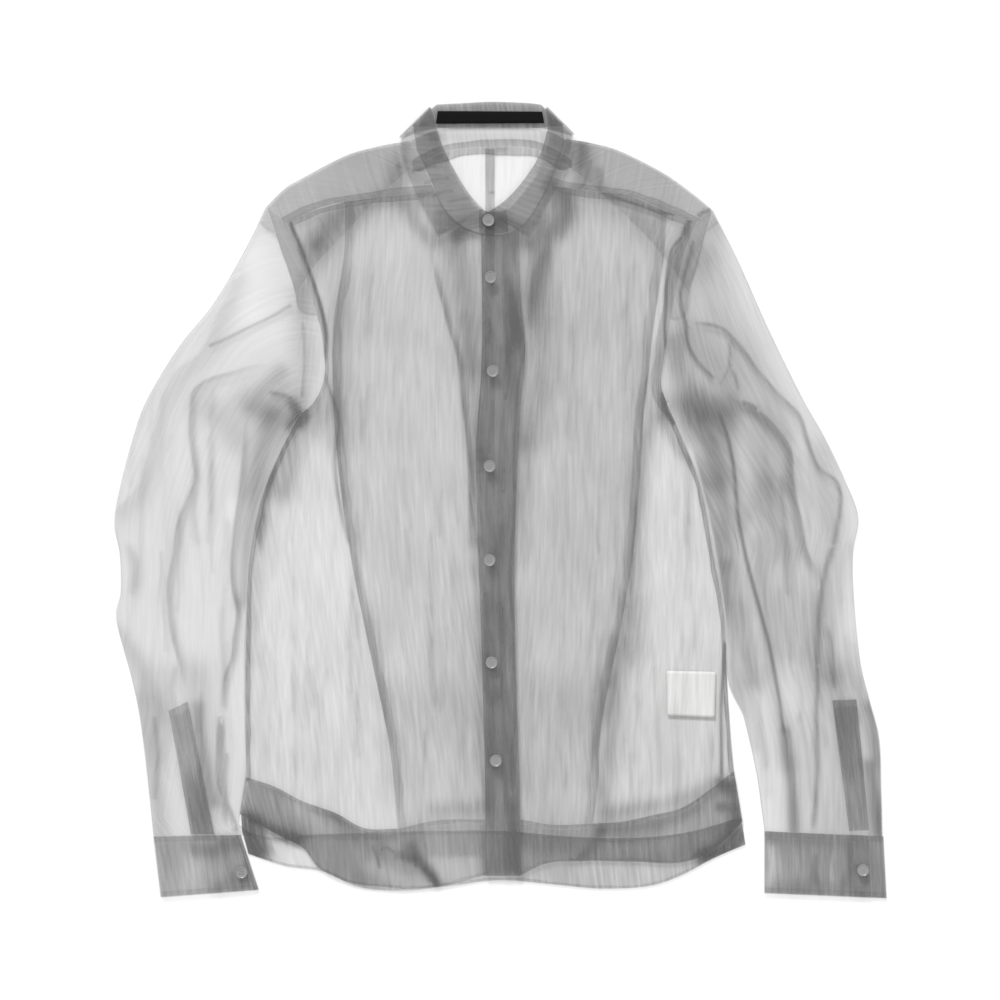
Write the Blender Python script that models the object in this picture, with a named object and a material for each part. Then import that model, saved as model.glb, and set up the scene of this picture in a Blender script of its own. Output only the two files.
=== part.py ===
# Formal shirt of sheer crinkled gauze, buttoned and laid flat, front side up.
#
# The origin is on the table under the middle of the shirt. +Z is up, out of the table, +Y runs
# towards the collar and +X towards the wearer's left sleeve. Tables and sizes are in millimetres
# and every mesh is built in metres.
#
# The cloth lies in levels, one wall and one small gap apart. Each panel is a grid of points
# between its seam lines. What is sewn on a panel is made from the same points, one level away.

import math

import bmesh
import bpy
import numpy as np

MM = 0.001

WALL = 1.0                 # thickness of every cloth wall
GAP = 0.3                  # air between two walls that lie on each other
LEVEL = WALL + GAP         # from one layer to the next
SEAM = 0.5                 # open line between two panels that meet edge to edge

FRONT = 2 * LEVEL          # the fronts lie on the back and on their own facings
TUBE_HEIGHT = FRONT + WALL  # a sleeve lies as a flat tube, as high as the front beside it
FOLD_STEPS = 4             # flats in each turned edge
FOLD_MIDDLE = 3.1          # height of the folds at the sides of the collar
STAND_TURN = 1.3           # radius of the collar stand's fold there
LEAF_TURN = STAND_TURN + LEVEL

BUTTON_DIAMETER = 11.4
BUTTON_HEIGHT = 2.0
BUTTON_EDGE = 0.5
BUTTON_SIDES = 20

SHARP_CLOTH = 50           # degrees past which an edge is shown sharp
SHARP_BUTTON = 35
MERGE = 0.01               # points closer than this are one

GAUZE = ("gauze", (0.62, 0.62, 0.62), 0.75)
BUTTON_RESIN = ("button_resin", (0.55, 0.55, 0.55), 0.35)
LABEL_BLACK = ("label_black", (0.012, 0.012, 0.013), 0.6)
LABEL_WHITE = ("label_white", (0.82, 0.82, 0.82), 0.6)

# Seam lines and edges, as (x, y) from top to bottom or from the wearer's right to the left.
SIDE_RIGHT = [(-191, 81), (-206, 52), (-227, 1), (-238, -56), (-241, -113), (-242, -189), (-241, -262)]
SIDE_LEFT = [(159, 91), (172, 62), (191, 12), (202, -48), (212, -101), (216, -180), (222, -256)]
ARMHOLE_FRONT_RIGHT = [(-203, 264), (-192, 236), (-180, 198), (-168, 150), (-168, 112), (-178, 92), (-191, 81)]
ARMHOLE_FRONT_LEFT = [(186, 264), (174, 232), (167, 200), (160, 162), (155, 129), (153, 110), (159, 91)]
ARMHOLE_BACK_RIGHT = [(-222, 279), (-209, 240), (-194, 196), (-193, 143), (-191, 81)]
ARMHOLE_BACK_LEFT = [(202, 276), (190, 238), (180, 196), (170, 140), (159, 91)]

YOKE_SEAM_RIGHT = [(-203, 264), (-184, 273), (-147, 284), (-104, 290), (-62, 294)]
YOKE_SEAM_LEFT = [(45, 300), (88, 294), (127, 288), (158, 275), (186, 264)]
NECK_RIGHT = [(-62, 294), (-48, 272), (-34, 260), (-18, 254)]
NECK_LEFT = [(18, 258), (32, 276), (45, 300)]
NECK_MIDDLE = [(-18, 254), (0, 253), (18, 258)]

FACING_EDGE_RIGHT = [(-147, 284), (-148, 235), (-158, 170), (-159, 110), (-153, 27), (-142, -51),
                     (-121, -155), (-105, -233), (-97, -311)]
FACING_EDGE_LEFT = [(158, 275), (156, 235), (151, 200), (145, 160), (141, 120), (136, 80), (133, 27),
                    (126, -51), (113, -129), (100, -191), (94, -233), (93, -270), (88, -306)]
PLACKET_EDGE_RIGHT = [(-18, 254), (-17, 190), (-18, 120), (-23, 48), (-22, 0), (-19, -94),
                      (-16, -189), (-14, -284), (-14, -302)]
PLACKET_EDGE_LEFT = [(18, 258), (20, 191), (24, 143), (20, 90), (16, 20), (14, -94),
                     (16, -189), (19, -284), (19, -302)]

HEM_TOP_RIGHT = [(-241, -262), (-214, -271), (-189, -284), (-154, -297), (-130, -310), (-97, -311)]
HEM_TOP_MIDDLE_RIGHT = [(-97, -311), (-60, -303), (-14, -302)]
HEM_TOP_PLACKET = [(-14, -302), (19, -302)]
HEM_TOP_MIDDLE_LEFT = [(19, -302), (50, -307), (88, -306)]
HEM_TOP_LEFT = [(88, -306), (117, -304), (145, -298), (170, -292), (200, -273), (222, -256)]

HEM_RIGHT = [(-247, -297), (-206, -319), (-186, -330), (-173, -347), (-148, -360), (-92, -368)]
HEM_MIDDLE_RIGHT = [(-92, -368), (-60, -366), (-14, -355)]
HEM_PLACKET = [(-14, -355), (20, -355)]
HEM_MIDDLE_LEFT = [(20, -355), (40, -345), (86, -341)]
HEM_LEFT = [(86, -341), (126, -342), (180, -341), (206, -328), (230, -304)]

BACK_SEAM = [(-194, 196), (-173, 227), (-148, 253), (-122, 281), (-86, 314), (-50, 332), (-8, 336),
             (38, 333), (71, 313), (106, 283), (137, 253), (159, 227), (180, 196)]
BACK_HEM_TOP = [(-238, -314), (-206, -320), (-180, -317), (-131, -315), (-52, -313), (0, -313),
                (60, -318), (120, -320), (180, -314), (229, -300)]
BACK_SIDE_LOW = (-246, -292)
BACK_HEM = [(-236, -337), (-206, -346), (-161, -354), (-144, -363), (-95, -370), (-52, -366), (0, -360),
            (51, -364), (100, -368), (152, -363), (177, -353), (199, -341), (233, -326)]

# The band of the seam down the middle of the back.
BAND_X = -9.5
BAND_TOP = 334.0
BAND_BOTTOM = -311.0
BAND_HALF = 4.5            # half its width

# The yoke from the wearer's right tip to the left one. Each section runs from the back seam up to
# the shoulder fold at its top and then, where the neck isn't open, down again to the front seam.
YOKE_COLUMNS = ("top_x", "top_y", "front_x", "front_y")
YOKE = [
    (-222, 279, -203, 264),
    (-205, 296, -184, 273),
    (-190, 305, -166, 280),
    (-148, 327, -147, 284),
    (-118, 336, -104, 290),
    (-86, 342, -62, 294),
    (-58, 348.5, None, None),
    (-10, 351, None, None),
    (40, 348.5, None, None),
    (62, 344, 45, 300),
    (90, 339, 88, 294),
    (114, 332, 127, 288),
    (152, 313, 143, 282),
    (180, 294, 158, 275),
    (202, 276, 186, 264),
]

# The sleeves from armhole to cuff. Each section runs from the outer folded edge to the inner one.
SLEEVE_COLUMNS = ("outer_x", "outer_y", "inner_x", "inner_y")
SLEEVE_RIGHT = [
    (-239, 244, -196, 78),
    (-270, 190, -202, 66),
    (-302, 150, -215, 36),
    (-328, 109, -229, 3),
    (-343, 77, -236, -25),
    (-359, 20, -242, -56),
    (-366, -20, -245, -90),
    (-361, -50, -246, -120),
    (-360, -86, -247, -150),
    (-364, -113, -248, -180),
    (-350, -167, -248, -215),
    (-342, -205, -249, -250),
    (-335, -260, -249, -285),
    (-329, -318, -247, -317),
]
SLEEVE_LEFT = [
    (227, 226, 164, 88),
    (255, 163, 170, 74),
    (286, 100, 182, 46),
    (309, 59, 195, 10),
    (327, 21, 201, -20),
    (340, -15, 207, -50),
    (335, -50, 213, -80),
    (336, -93, 219, -125),
    (342, -152, 224, -165),
    (351, -189, 229, -195),
    (360, -225, 236, -224),
    (362, -275, 244, -262),
    (363, -318, 251, -313),
]

# Long creases of the upper sleeve wall: where each runs, and how high it stands at each point.
CREASE_COLUMNS = ("x", "y", "height")
CREASES_RIGHT = [
    [(-246, 215, 0), (-272, 165, 1.6), (-306, 112, 2.0), (-330, 60, 2.0), (-346, 0, 1.2), (-346, -60, 1.6),
     (-345, -120, 1.8), (-333, -175, 0.8), (-323, -215, 0), (-318, -315, 0)],
    [(-190, 132, 0), (-247, 123, 1.4), (-286, 95, 2.2), (-293, 40, 2.4), (-303, -10, 2.4), (-314, -80, 2.4),
     (-313, -135, 2.0), (-300, -170, 0), (-283, -218, 0), (-275, -315, 0)],
    [(-185, 92, 0), (-222, 86, 1.6), (-243, 60, 2.2), (-249, 0, 2.4), (-256, -60, 2.4), (-258, -140, 2.0),
     (-265, -190, 1.4), (-266, -228, 0), (-258, -315, 0)],
]
CREASES_LEFT = [
    [(180, 172, 0), (226, 146, 2.0), (256, 106, 2.4), (292, 55, 2.2), (318, 15, 2.2), (322, -20, 1.6),
     (322, -60, 1.2), (329, -130, 1.6), (334, -180, 0), (342, -315, 0)],
    [(172, 150, 0), (215, 108, 1.4), (258, 78, 2.0), (277, 30, 2.2), (288, -35, 2.4), (300, -80, 2.6),
     (298, -135, 2.6), (301, -220, 2.2), (301, -270, 1.6), (302, -315, 0)],
    [(165, 110, 0), (205, 70, 1.4), (222, 20, 2.4), (234, -45, 2.4), (246, -110, 2.4), (259, -165, 2.4),
     (268, -235, 2.2), (276, -280, 1.4), (279, -315, 0)],
]

# The slit strips on the lower sleeves, as corners: top outer, top inner, bottom inner, bottom outer.
SLIT_RIGHT = [(-314, -199), (-296, -190), (-271, -316), (-293, -316)]
SLIT_LEFT = [(315, -189), (338, -188), (350, -312), (331, -313)]

# The cuffs as corners: top outer, top inner, bottom inner, bottom outer.
CUFF_RIGHT = [(-329, -318.7), (-246, -317.7), (-229, -369), (-322, -376)]
CUFF_LEFT = [(364, -318.7), (251, -313.7), (251, -372), (367, -377)]
CUFF_OVERLAP = 20.0        # how far the end with the buttonhole lies over the other end
CUFF_TOP_INNER = 2.1       # lower face of the covered end
CUFF_TOP_OUTER = CUFF_TOP_INNER + LEVEL
CUFF_REACH_RIGHT = 0.97    # where the covering end stops, as a share of the cuff's width
CUFF_REACH_LEFT = 0.13

# The collar from the wearer's right front end round the back to the left end.
# Each section has its point on the roll line, on the neck seam and on the leaf's free edge,
# and the height of the stand's and the leaf's lower face.
COLLAR_COLUMNS = ("roll_x", "roll_y", "neck_x", "neck_y", "free_x", "free_y", "stand_z", "leaf_z")
STAND_OVER = FOLD_MIDDLE + STAND_TURN - WALL / 2
STAND_UNDER = FOLD_MIDDLE - STAND_TURN - WALL / 2
LEAF_OVER = FOLD_MIDDLE + LEAF_TURN - WALL / 2
LEAF_UNDER = FOLD_MIDDLE - LEAF_TURN - WALL / 2
STAND_STEP = STAND_OVER - 0.6   # where the stand comes down from the fold to its front end
COLLAR_FRONT_RIGHT = [
    (6, 276, 8, 257, None, None, FRONT, LEAF_OVER),
    (-14, 275, -18, 255, -59, 250, FRONT, LEAF_OVER),
    (-29, 291, -48, 273, -76, 281, STAND_STEP, LEAF_OVER),
    (-46, 319, -67, 308, -90, 314, STAND_OVER, LEAF_OVER),
    (-57, 343, -79, 333, -95, 333, STAND_OVER, LEAF_OVER),
]
COLLAR_FOLD_RIGHT = [(-67, 374), (-84, 357), (-96, 345)]
COLLAR_BACK = [
    (-40, 377, -50, 354, -60, 353, STAND_UNDER, LEAF_UNDER),
    (-8, 379, -10, 354.5, -12, 353.5, STAND_UNDER, LEAF_UNDER),
    (24, 378, 32, 354, 36, 353, STAND_UNDER, LEAF_UNDER),
]
COLLAR_FOLD_LEFT = [(45, 374), (61, 358), (71, 348)]
COLLAR_FRONT_LEFT = [
    (45, 352, 61, 340, 68, 335, STAND_OVER, LEAF_OVER),
    (38, 329, 53, 314, 62, 312, STAND_OVER, LEAF_OVER),
    (23, 305, 38, 288, 50, 289, STAND_OVER, LEAF_OVER),
    (6, 286, 22, 264, 39, 267, STAND_OVER, LEAF_OVER),
    (-10, 275, -4, 256, 28, 248, STAND_OVER, LEAF_OVER),
    (-20, 277, -20, 256, None, None, STAND_OVER, LEAF_OVER),
]

NECK_LABEL = [(-59, 370), (40, 369.5), (42, 358.5), (-61, 358)]
CARE_LABEL = [(158, -161), (205, -162), (204, -206), (159, -204)]

STAND_BUTTON = (-11, 266)
PLACKET_BUTTONS = [(-9, 212), (-7, 123), (-10, 33), (-10, -56), (-8, -153), (-4, -246)]
CUFF_BUTTON_RIGHT = (-245, -352)
CUFF_BUTTON_LEFT = (344, -350)


def columns_of(table, names, wanted):
    """The wanted columns of a table of numbers, by their names."""
    return np.array(table, float)[:, [names.index(name) for name in wanted]]


def smooth(points, count, even=True):
    """Points along a smooth line through the given ones, spaced evenly or as the given ones are."""
    given = np.array(points, float)
    steps = np.linalg.norm(np.diff(given, axis=0), axis=1) if even else np.ones(len(given) - 1)
    reach = np.concatenate([[0], np.cumsum(steps)])
    slope = np.gradient(given, reach, axis=0, edge_order=1)
    places = np.linspace(0, reach[-1], count)
    spans = np.clip(np.searchsorted(reach, places, side="right") - 1, 0, len(given) - 2)
    length = (reach[spans + 1] - reach[spans])[:, None]
    t = (places - reach[spans])[:, None] / length
    start, end = given[spans], given[spans + 1]
    return (
        (1 + 2 * t) * (1 - t) ** 2 * start
        + t * (1 - t) ** 2 * length * slope[spans]
        + t * t * (3 - 2 * t) * end
        + t * t * (t - 1) * length * slope[spans + 1]
    )


def patch(left, right, top, bottom, at=None):
    """Coons patch: points between four lines, as rows from top to bottom.

    `at` gives each column's share of the width, where they aren't evenly spaced.
    """
    rows, columns = len(left), len(top)
    v = np.linspace(0, 1, rows)[:, None, None]
    u = np.linspace(0, 1, columns)[None, :, None] if at is None else at[None, :, None]
    across = (1 - u) * left[:, None] + u * right[:, None]
    along = (1 - v) * top[None] + v * bottom[None]
    corners = (
        (1 - u) * (1 - v) * top[0]
        + u * (1 - v) * top[-1]
        + (1 - u) * v * bottom[0]
        + u * v * bottom[-1]
    )
    return across + along - corners


def four_sided(corners, columns, rows):
    """Points between four corners, given from the top left round to the bottom left."""
    top_left, top_right, low_right, low_left = corners
    return patch(
        smooth([top_left, low_left], rows + 1),
        smooth([top_right, low_right], rows + 1),
        smooth([top_left, top_right], columns + 1),
        smooth([low_left, low_right], columns + 1),
    )


def beside(parts):
    """Patches that share an edge, joined from left to right into one grid."""
    return np.concatenate([parts[0]] + [part[:, 1:] for part in parts[1:]], axis=1)


def below(parts):
    """Patches that share an edge, joined from top to bottom into one grid."""
    return np.concatenate([parts[0]] + [part[1:] for part in parts[1:]], axis=0)


def raised(points, height):
    """The same plan points with a height: one number, or one for each point."""
    z = np.broadcast_to(height, points.shape[:2])
    return np.dstack([points[..., :2], z])


def moved(points, dx, dy):
    return points + np.array([dx, dy] + [0] * (points.shape[-1] - 2))


def material(finish):
    name, colour, roughness = finish
    found = bpy.data.materials.get(name)
    if found:
        return found
    made = bpy.data.materials.new(name)
    made.use_nodes = True
    shader = made.node_tree.nodes["Principled BSDF"]
    shader.inputs["Base Color"].default_value = (*colour, 1)
    shader.inputs["Roughness"].default_value = roughness
    shader.inputs["Metallic"].default_value = 0
    return made


def placed(name, bm, finish):
    """A named object from a finished bmesh."""
    mesh = bpy.data.meshes.new(name)
    bm.to_mesh(mesh)
    bm.free()
    mesh.materials.append(material(finish))
    piece = bpy.data.objects.new(name, mesh)
    bpy.context.collection.objects.link(piece)
    return piece


def thickened(piece, wall, side):
    """Gives a sheet its wall, on the side its faces point to (1) or away from it (-1)."""
    solid = piece.modifiers.new("Wall", "SOLIDIFY")
    solid.thickness = wall * MM
    solid.offset = side
    solid.use_quality_normals = True


def laid_grid(points):
    """A bmesh grid through rows of points, which run from top to bottom and from left to right."""
    rows, columns = points.shape[:2]
    bm = bmesh.new()
    bmesh.ops.create_grid(bm, x_segments=columns - 1, y_segments=rows - 1, size=1)
    bm.verts.ensure_lookup_table()
    for index, vertex in enumerate(bm.verts):
        row, column = divmod(index, columns)
        vertex.co = points[rows - 1 - row, column] * MM
    return bm


def sheet(name, points, finish=GAUZE, open_faces=None):
    """A cloth sheet through a grid of points on its lower face, with its wall above them."""
    rows, columns = points.shape[:2]
    bm = laid_grid(points)
    if open_faces:
        bm.faces.ensure_lookup_table()
        cut = [
            face
            for index, face in enumerate(bm.faces)
            if open_faces(rows - 2 - index // (columns - 1), index % (columns - 1))
        ]
        bmesh.ops.delete(bm, geom=cut, context="FACES")
        loose = [vertex for vertex in bm.verts if not vertex.link_faces]
        bmesh.ops.delete(bm, geom=loose, context="VERTS")
    piece = placed(name, bm, finish)
    piece.data.shade_smooth()
    piece.data.set_sharp_from_angle(angle=math.radians(SHARP_CLOTH))
    thickened(piece, WALL, 1)


def turned(point, outward, radius, middle, start, end):
    """Points of a fold: an arc in the upright plane through `outward`, its far side on `point`."""
    centre = np.array(point, float) - np.array(outward) * radius
    angles = np.radians(np.linspace(start, end, FOLD_STEPS + 1))
    return [
        (*(centre + np.array(outward) * radius * math.cos(a)), middle + radius * math.sin(a))
        for a in angles
    ]


def unit(vector):
    return np.array(vector, float) / np.linalg.norm(vector)


def chain(*lines):
    """Smooth lines that meet at a corner, one after the other, each given with its steps."""
    made = [smooth(points, steps + 1) for points, steps in lines]
    return np.concatenate([made[0]] + [line[1:] for line in made[1:]])


# The steps of the body panels: armhole, side seam, hem; then side, middle and placket columns.
ARMHOLE_ROWS = 6
BACK_ARMHOLE_ROWS = 2
SIDE_ROWS = 11
BODY_ROWS = ARMHOLE_ROWS + SIDE_ROWS
HEM_ROWS = 2
SIDE_COLUMNS = 5
YOKE_COLUMN_STEPS = 4
NECK_COLUMNS = 3
MIDDLE_COLUMNS = YOKE_COLUMN_STEPS + NECK_COLUMNS
PLACKET_COLUMNS = 2
TRANSITION = 0.65          # how far down its last step a front starts to rise over the hem facing
SIDE_NARROW = 0.09         # the outermost column, in which a front comes down to the back
TUCK = 6.0                 # how far a facing reaches under the yoke
STRIP_START = 0.2          # the share of its first step by which the placket strip clears the neck seam


def shares(columns, narrow_first=False, narrow_last=False):
    """Even shares of a width, but for a narrow column along the side seam."""
    even = np.linspace(0, 1, columns + 1)
    if narrow_first:
        even[1:] = np.linspace(SIDE_NARROW, 1, columns)
    if narrow_last:
        even[:-1] = np.linspace(0, 1 - SIDE_NARROW, columns)
    return even


def respaced(line, at):
    """A line of evenly numbered points, read at the given shares of its length."""
    places = np.linspace(0, 1, len(line))
    return np.column_stack([np.interp(at, places, line[:, k]) for k in range(2)])


def body_zone(left, right, top, hem_top, hem, at=None):
    """One zone of a front, from its top seam through the hem facing's edge to the hem."""
    columns = len(top)
    upper_edge, lower_edge = smooth(hem_top, columns), smooth(hem, columns)
    if at is not None:
        top, upper_edge, lower_edge = (respaced(line, at) for line in (top, upper_edge, lower_edge))
    upper = patch(left, right, top, upper_edge, at)
    before_hem = upper[-2] + (upper[-1] - upper[-2]) * TRANSITION
    upper = np.concatenate([upper[:-1], before_hem[None], upper[-1:]])
    side_steps = np.linspace(0, 1, HEM_ROWS + 1)[:, None]
    ends = [edge_top + (edge_low - edge_top) * side_steps
            for edge_top, edge_low in ((upper_edge[0], lower_edge[0]), (upper_edge[-1], lower_edge[-1]))]
    hem_zone = patch(ends[0], ends[1], upper_edge, lower_edge, at)
    return below([upper, hem_zone])


def top_gap(line):
    """A front's top edge, let down by the width of the open seam line."""
    return moved(line, 0, -SEAM)


def front_zones():
    """The five zones of the two fronts, from the wearer's right side to the left one."""
    side_right = chain((ARMHOLE_FRONT_RIGHT, ARMHOLE_ROWS), (SIDE_RIGHT, SIDE_ROWS))
    side_left = chain((ARMHOLE_FRONT_LEFT, ARMHOLE_ROWS), (SIDE_LEFT, SIDE_ROWS))
    facing_right = smooth(FACING_EDGE_RIGHT, BODY_ROWS + 1)
    facing_left = smooth(FACING_EDGE_LEFT, BODY_ROWS + 1)
    placket_right = smooth(PLACKET_EDGE_RIGHT, BODY_ROWS + 1)
    placket_left = smooth(PLACKET_EDGE_LEFT, BODY_ROWS + 1)
    tops = [
        smooth(YOKE_SEAM_RIGHT[:3], SIDE_COLUMNS + 1),
        chain((YOKE_SEAM_RIGHT[2:], YOKE_COLUMN_STEPS), (NECK_RIGHT, NECK_COLUMNS)),
        smooth(NECK_MIDDLE, PLACKET_COLUMNS + 1),
        chain((NECK_LEFT, NECK_COLUMNS), (YOKE_SEAM_LEFT[:4], YOKE_COLUMN_STEPS)),
        smooth(YOKE_SEAM_LEFT[3:], SIDE_COLUMNS + 1),
    ]
    edges = [side_right, facing_right, placket_right, placket_left, facing_left, side_left]
    hem_tops = [HEM_TOP_RIGHT, HEM_TOP_MIDDLE_RIGHT, HEM_TOP_PLACKET, HEM_TOP_MIDDLE_LEFT, HEM_TOP_LEFT]
    hems = [HEM_RIGHT, HEM_MIDDLE_RIGHT, HEM_PLACKET, HEM_MIDDLE_LEFT, HEM_LEFT]
    at = [shares(SIDE_COLUMNS, narrow_first=True), None, None, None, shares(SIDE_COLUMNS, narrow_last=True)]
    zones = []
    for index, top in enumerate(tops):
        left, right = edges[index].copy(), edges[index + 1].copy()
        top = top_gap(top)
        left[0], right[0] = top[0], top[-1]
        zones.append(body_zone(left, right, top, hem_tops[index], hems[index], at[index]))
    return zones


def front_heights(grid, side_column=None):
    """Lower face of a front: over the facings, over the hem facing, and down to the back at its side."""
    rows, columns = grid.shape[:2]
    first_hem_row = rows - 1 - HEM_ROWS
    height = np.full((rows, columns), FRONT)
    height[first_hem_row:] += LEVEL
    if side_column is not None:
        height[ARMHOLE_ROWS + 1:first_hem_row - 1, side_column] -= LEVEL
    return height


def add_fronts():
    """Both fronts, the placket strip, and the facings that show through them."""
    side_r, middle_r, placket, middle_l, side_l = front_zones()
    rows = placket.shape[0]
    first_hem_row = rows - 1 - HEM_ROWS

    right = beside([side_r, middle_r, placket])
    left = beside([placket, middle_l, side_l])
    right_height = front_heights(right, side_column=0)
    left_height = front_heights(left, side_column=-1)
    left_height[:, :PLACKET_COLUMNS + 1] += LEVEL
    sheet("front_right", raised(right, right_height))
    sheet("front_left", raised(left, left_height))

    strip = raised(placket, front_heights(placket) + 2 * LEVEL)
    strip[0] = strip[0] + (strip[1] - strip[0]) * STRIP_START
    sheet("placket", strip)

    for name, zone in (("facing_right", middle_r), ("facing_left", middle_l)):
        above_hem = zone[:first_hem_row].copy()
        above_hem[0, :, 1] += TUCK
        sheet(f"front_{name}", raised(above_hem, FRONT - LEVEL))

    for name, zones in (("right", [side_r, middle_r]), ("left", [middle_l, side_l])):
        in_hem = beside(zones)[first_hem_row:]
        sheet(f"front_{name}_hem_facing", raised(in_hem, FRONT))


BACK_COLUMNS = len(YOKE) - 1
BACK_SIDE_ROWS = 12
BACK_HEM_ROWS = 2
BAND_ROWS = 4


def add_back():
    """The back, its hem facing and the band of its centre seam."""
    left = chain(
        (ARMHOLE_BACK_RIGHT[2:], BACK_ARMHOLE_ROWS),
        (SIDE_RIGHT + [BACK_SIDE_LOW, BACK_HEM_TOP[0]], BACK_SIDE_ROWS),
    )
    right = chain(
        (ARMHOLE_BACK_LEFT[2:], BACK_ARMHOLE_ROWS),
        (SIDE_LEFT + [BACK_HEM_TOP[-1]], BACK_SIDE_ROWS),
    )
    top = moved(smooth(BACK_SEAM, BACK_COLUMNS + 1), 0, -SEAM)
    hem_top = smooth(BACK_HEM_TOP, BACK_COLUMNS + 1)
    hem = smooth(BACK_HEM, BACK_COLUMNS + 1)
    left[0], right[0], left[-1], right[-1] = top[0], top[-1], hem_top[0], hem_top[-1]
    upper = patch(left, right, top, hem_top)
    hem_left = smooth([hem_top[0], hem[0]], BACK_HEM_ROWS + 1)
    hem_right = smooth([hem_top[-1], hem[-1]], BACK_HEM_ROWS + 1)
    in_hem = patch(hem_left, hem_right, hem_top, hem)
    sheet("back", raised(below([upper, in_hem]), 0))
    sheet("back_hem_facing", raised(in_hem, LEVEL))

    band_left, band_right = BAND_X - BAND_HALF, BAND_X + BAND_HALF
    corners = [(band_left, BAND_TOP), (band_right, BAND_TOP),
               (band_right, BAND_BOTTOM), (band_left, BAND_BOTTOM)]
    sheet("back_centre_band", raised(four_sided(corners, 1, BAND_ROWS), LEVEL))


FLAP_ROWS = 4
NECK_SECTIONS = (5, 9)     # the yoke sections at the two neck points


def add_yoke():
    """One sheet from the back seam over both shoulders to the front seams, open at the neck."""
    sections = [dict(zip(YOKE_COLUMNS, row)) for row in YOKE]
    radius = TUBE_HEIGHT / 2
    tops = np.array([(s["top_x"], s["top_y"]) for s in sections], float)
    seams = moved(smooth(BACK_SEAM, len(YOKE)), 0, SEAM / 2)
    columns = []
    for index, section in enumerate(sections):
        seam = seams[index]
        if section["front_x"] is None:
            flat = smooth([tops[index], seam], FLAP_ROWS + 1)
            edge = [(*tops[index], 0)] * (FLAP_ROWS + FOLD_STEPS)
            columns.append(edge + [(*point, 0) for point in flat])
            continue
        first = max(index - 1, 0 if index <= NECK_SECTIONS[0] else NECK_SECTIONS[1])
        last = min(index + 1, NECK_SECTIONS[0] if index <= NECK_SECTIONS[0] else len(tops) - 1)
        along = unit(tops[last] - tops[first])
        outward = (-along[1], along[0])
        fold = turned(tops[index], outward, radius, radius, 90, -90)
        front = np.array([section["front_x"], section["front_y"] + SEAM / 2], float)
        flap = smooth([front, fold[0][:2]], FLAP_ROWS + 1)[:-1]
        back = smooth([fold[-1][:2], seam], FLAP_ROWS + 1)[1:]
        columns.append(
            [(*point, TUBE_HEIGHT) for point in flap] + fold + [(*point, 0) for point in back]
        )
    points = np.array(columns, float).transpose(1, 0, 2)

    def neck(row, column):
        return row < FLAP_ROWS + FOLD_STEPS and NECK_SECTIONS[0] <= column < NECK_SECTIONS[1]

    sheet("yoke", points, open_faces=neck)


def evenly(line, steps):
    """Points evenly spaced along the straight stretches of a line."""
    reach = np.concatenate([[0], np.cumsum(np.linalg.norm(np.diff(line, axis=0), axis=1))])
    places = np.linspace(0, reach[-1], steps + 1)
    return np.column_stack([np.interp(places, reach, line[:, k]) for k in range(2)])


def edge_normals(line, side):
    """Directions square to a line, to its left or right as seen from above."""
    along = np.gradient(line, axis=0)
    along /= np.linalg.norm(along, axis=1)[:, None]
    return np.column_stack([along[:, 1], -along[:, 0]]) * side


CROSSING_MARGIN = 0.3      # how far past a row's ends, in its widths, a crossing still counts


def crossing(crease, start, end):
    """Where a crease crosses the row from start to end, as a share of it, and its height there."""
    across = end - start
    normal = np.array([-across[1], across[0]])
    offsets = (crease[:, :2] - start) @ normal
    places = (crease[:, :2] - start) @ across / (across @ across)
    for k in range(len(crease) - 1):
        if offsets[k] * offsets[k + 1] <= 0 and offsets[k] != offsets[k + 1]:
            t = offsets[k] / (offsets[k] - offsets[k + 1])
            share = places[k] + t * (places[k + 1] - places[k])
            if -CROSSING_MARGIN < share < 1 + CROSSING_MARGIN:
                return share, crease[k, 2] + t * (crease[k + 1, 2] - crease[k, 2])
    nearest = 0 if abs(offsets[0]) < abs(offsets[-1]) else -1
    return places[nearest], 0.0


SLEEVE_ROWS_PER_SECTION = 2
UNDER_COLUMNS = 4
FINE_STEPS = 40            # steps in which the upper wall's rows are read before its columns are set
ARMHOLE_REACH = 0.25       # the share of the sleeve in which its rows straighten out
ARMHOLE_FADE = 1.3         # how fast they do: 1 is even, more is sooner
ARMHOLE_GAP = 1.6 * SEAM   # from the armhole to the sleeve's upper end
TIP_GAP = 2 * SEAM         # from the armhole's top, and its foot, to the sleeve's two edges
ARMPIT_GAP = 4 * SEAM
CREASE_HALF = 8.0          # half the width of a long sleeve crease
LEAST_SHARE = 0.02         # the least width of a strip between two creases, as a share of a row
CREASE_SPACE = 0.06        # kept for each crease that still follows, on top of its own width


def crease_columns(creases, start, end):
    """Shares of a row and heights above the tube: each crease has a foot, a top and a foot."""
    width = np.linalg.norm(end - start)
    half = CREASE_HALF / width
    found = sorted(crossing(crease, start, end) for crease in creases)
    marks = [(0.0, 0.0)]
    for index, (share, height) in enumerate(found):
        low = marks[-1][0] + 2 * LEAST_SHARE
        high = 1 - (len(found) - index) * (2 * half + CREASE_SPACE) + half
        share = min(max(share, low + half), max(high, low + half))
        marks += [((marks[-1][0] + share - half) / 2, 0.0), (share - half, 0.0), (share, height),
                  (share + half, 0.0)]
    marks += [((marks[-1][0] + 1) / 2, 0.0), (1.0, 0.0)]
    return np.array(marks)


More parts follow.
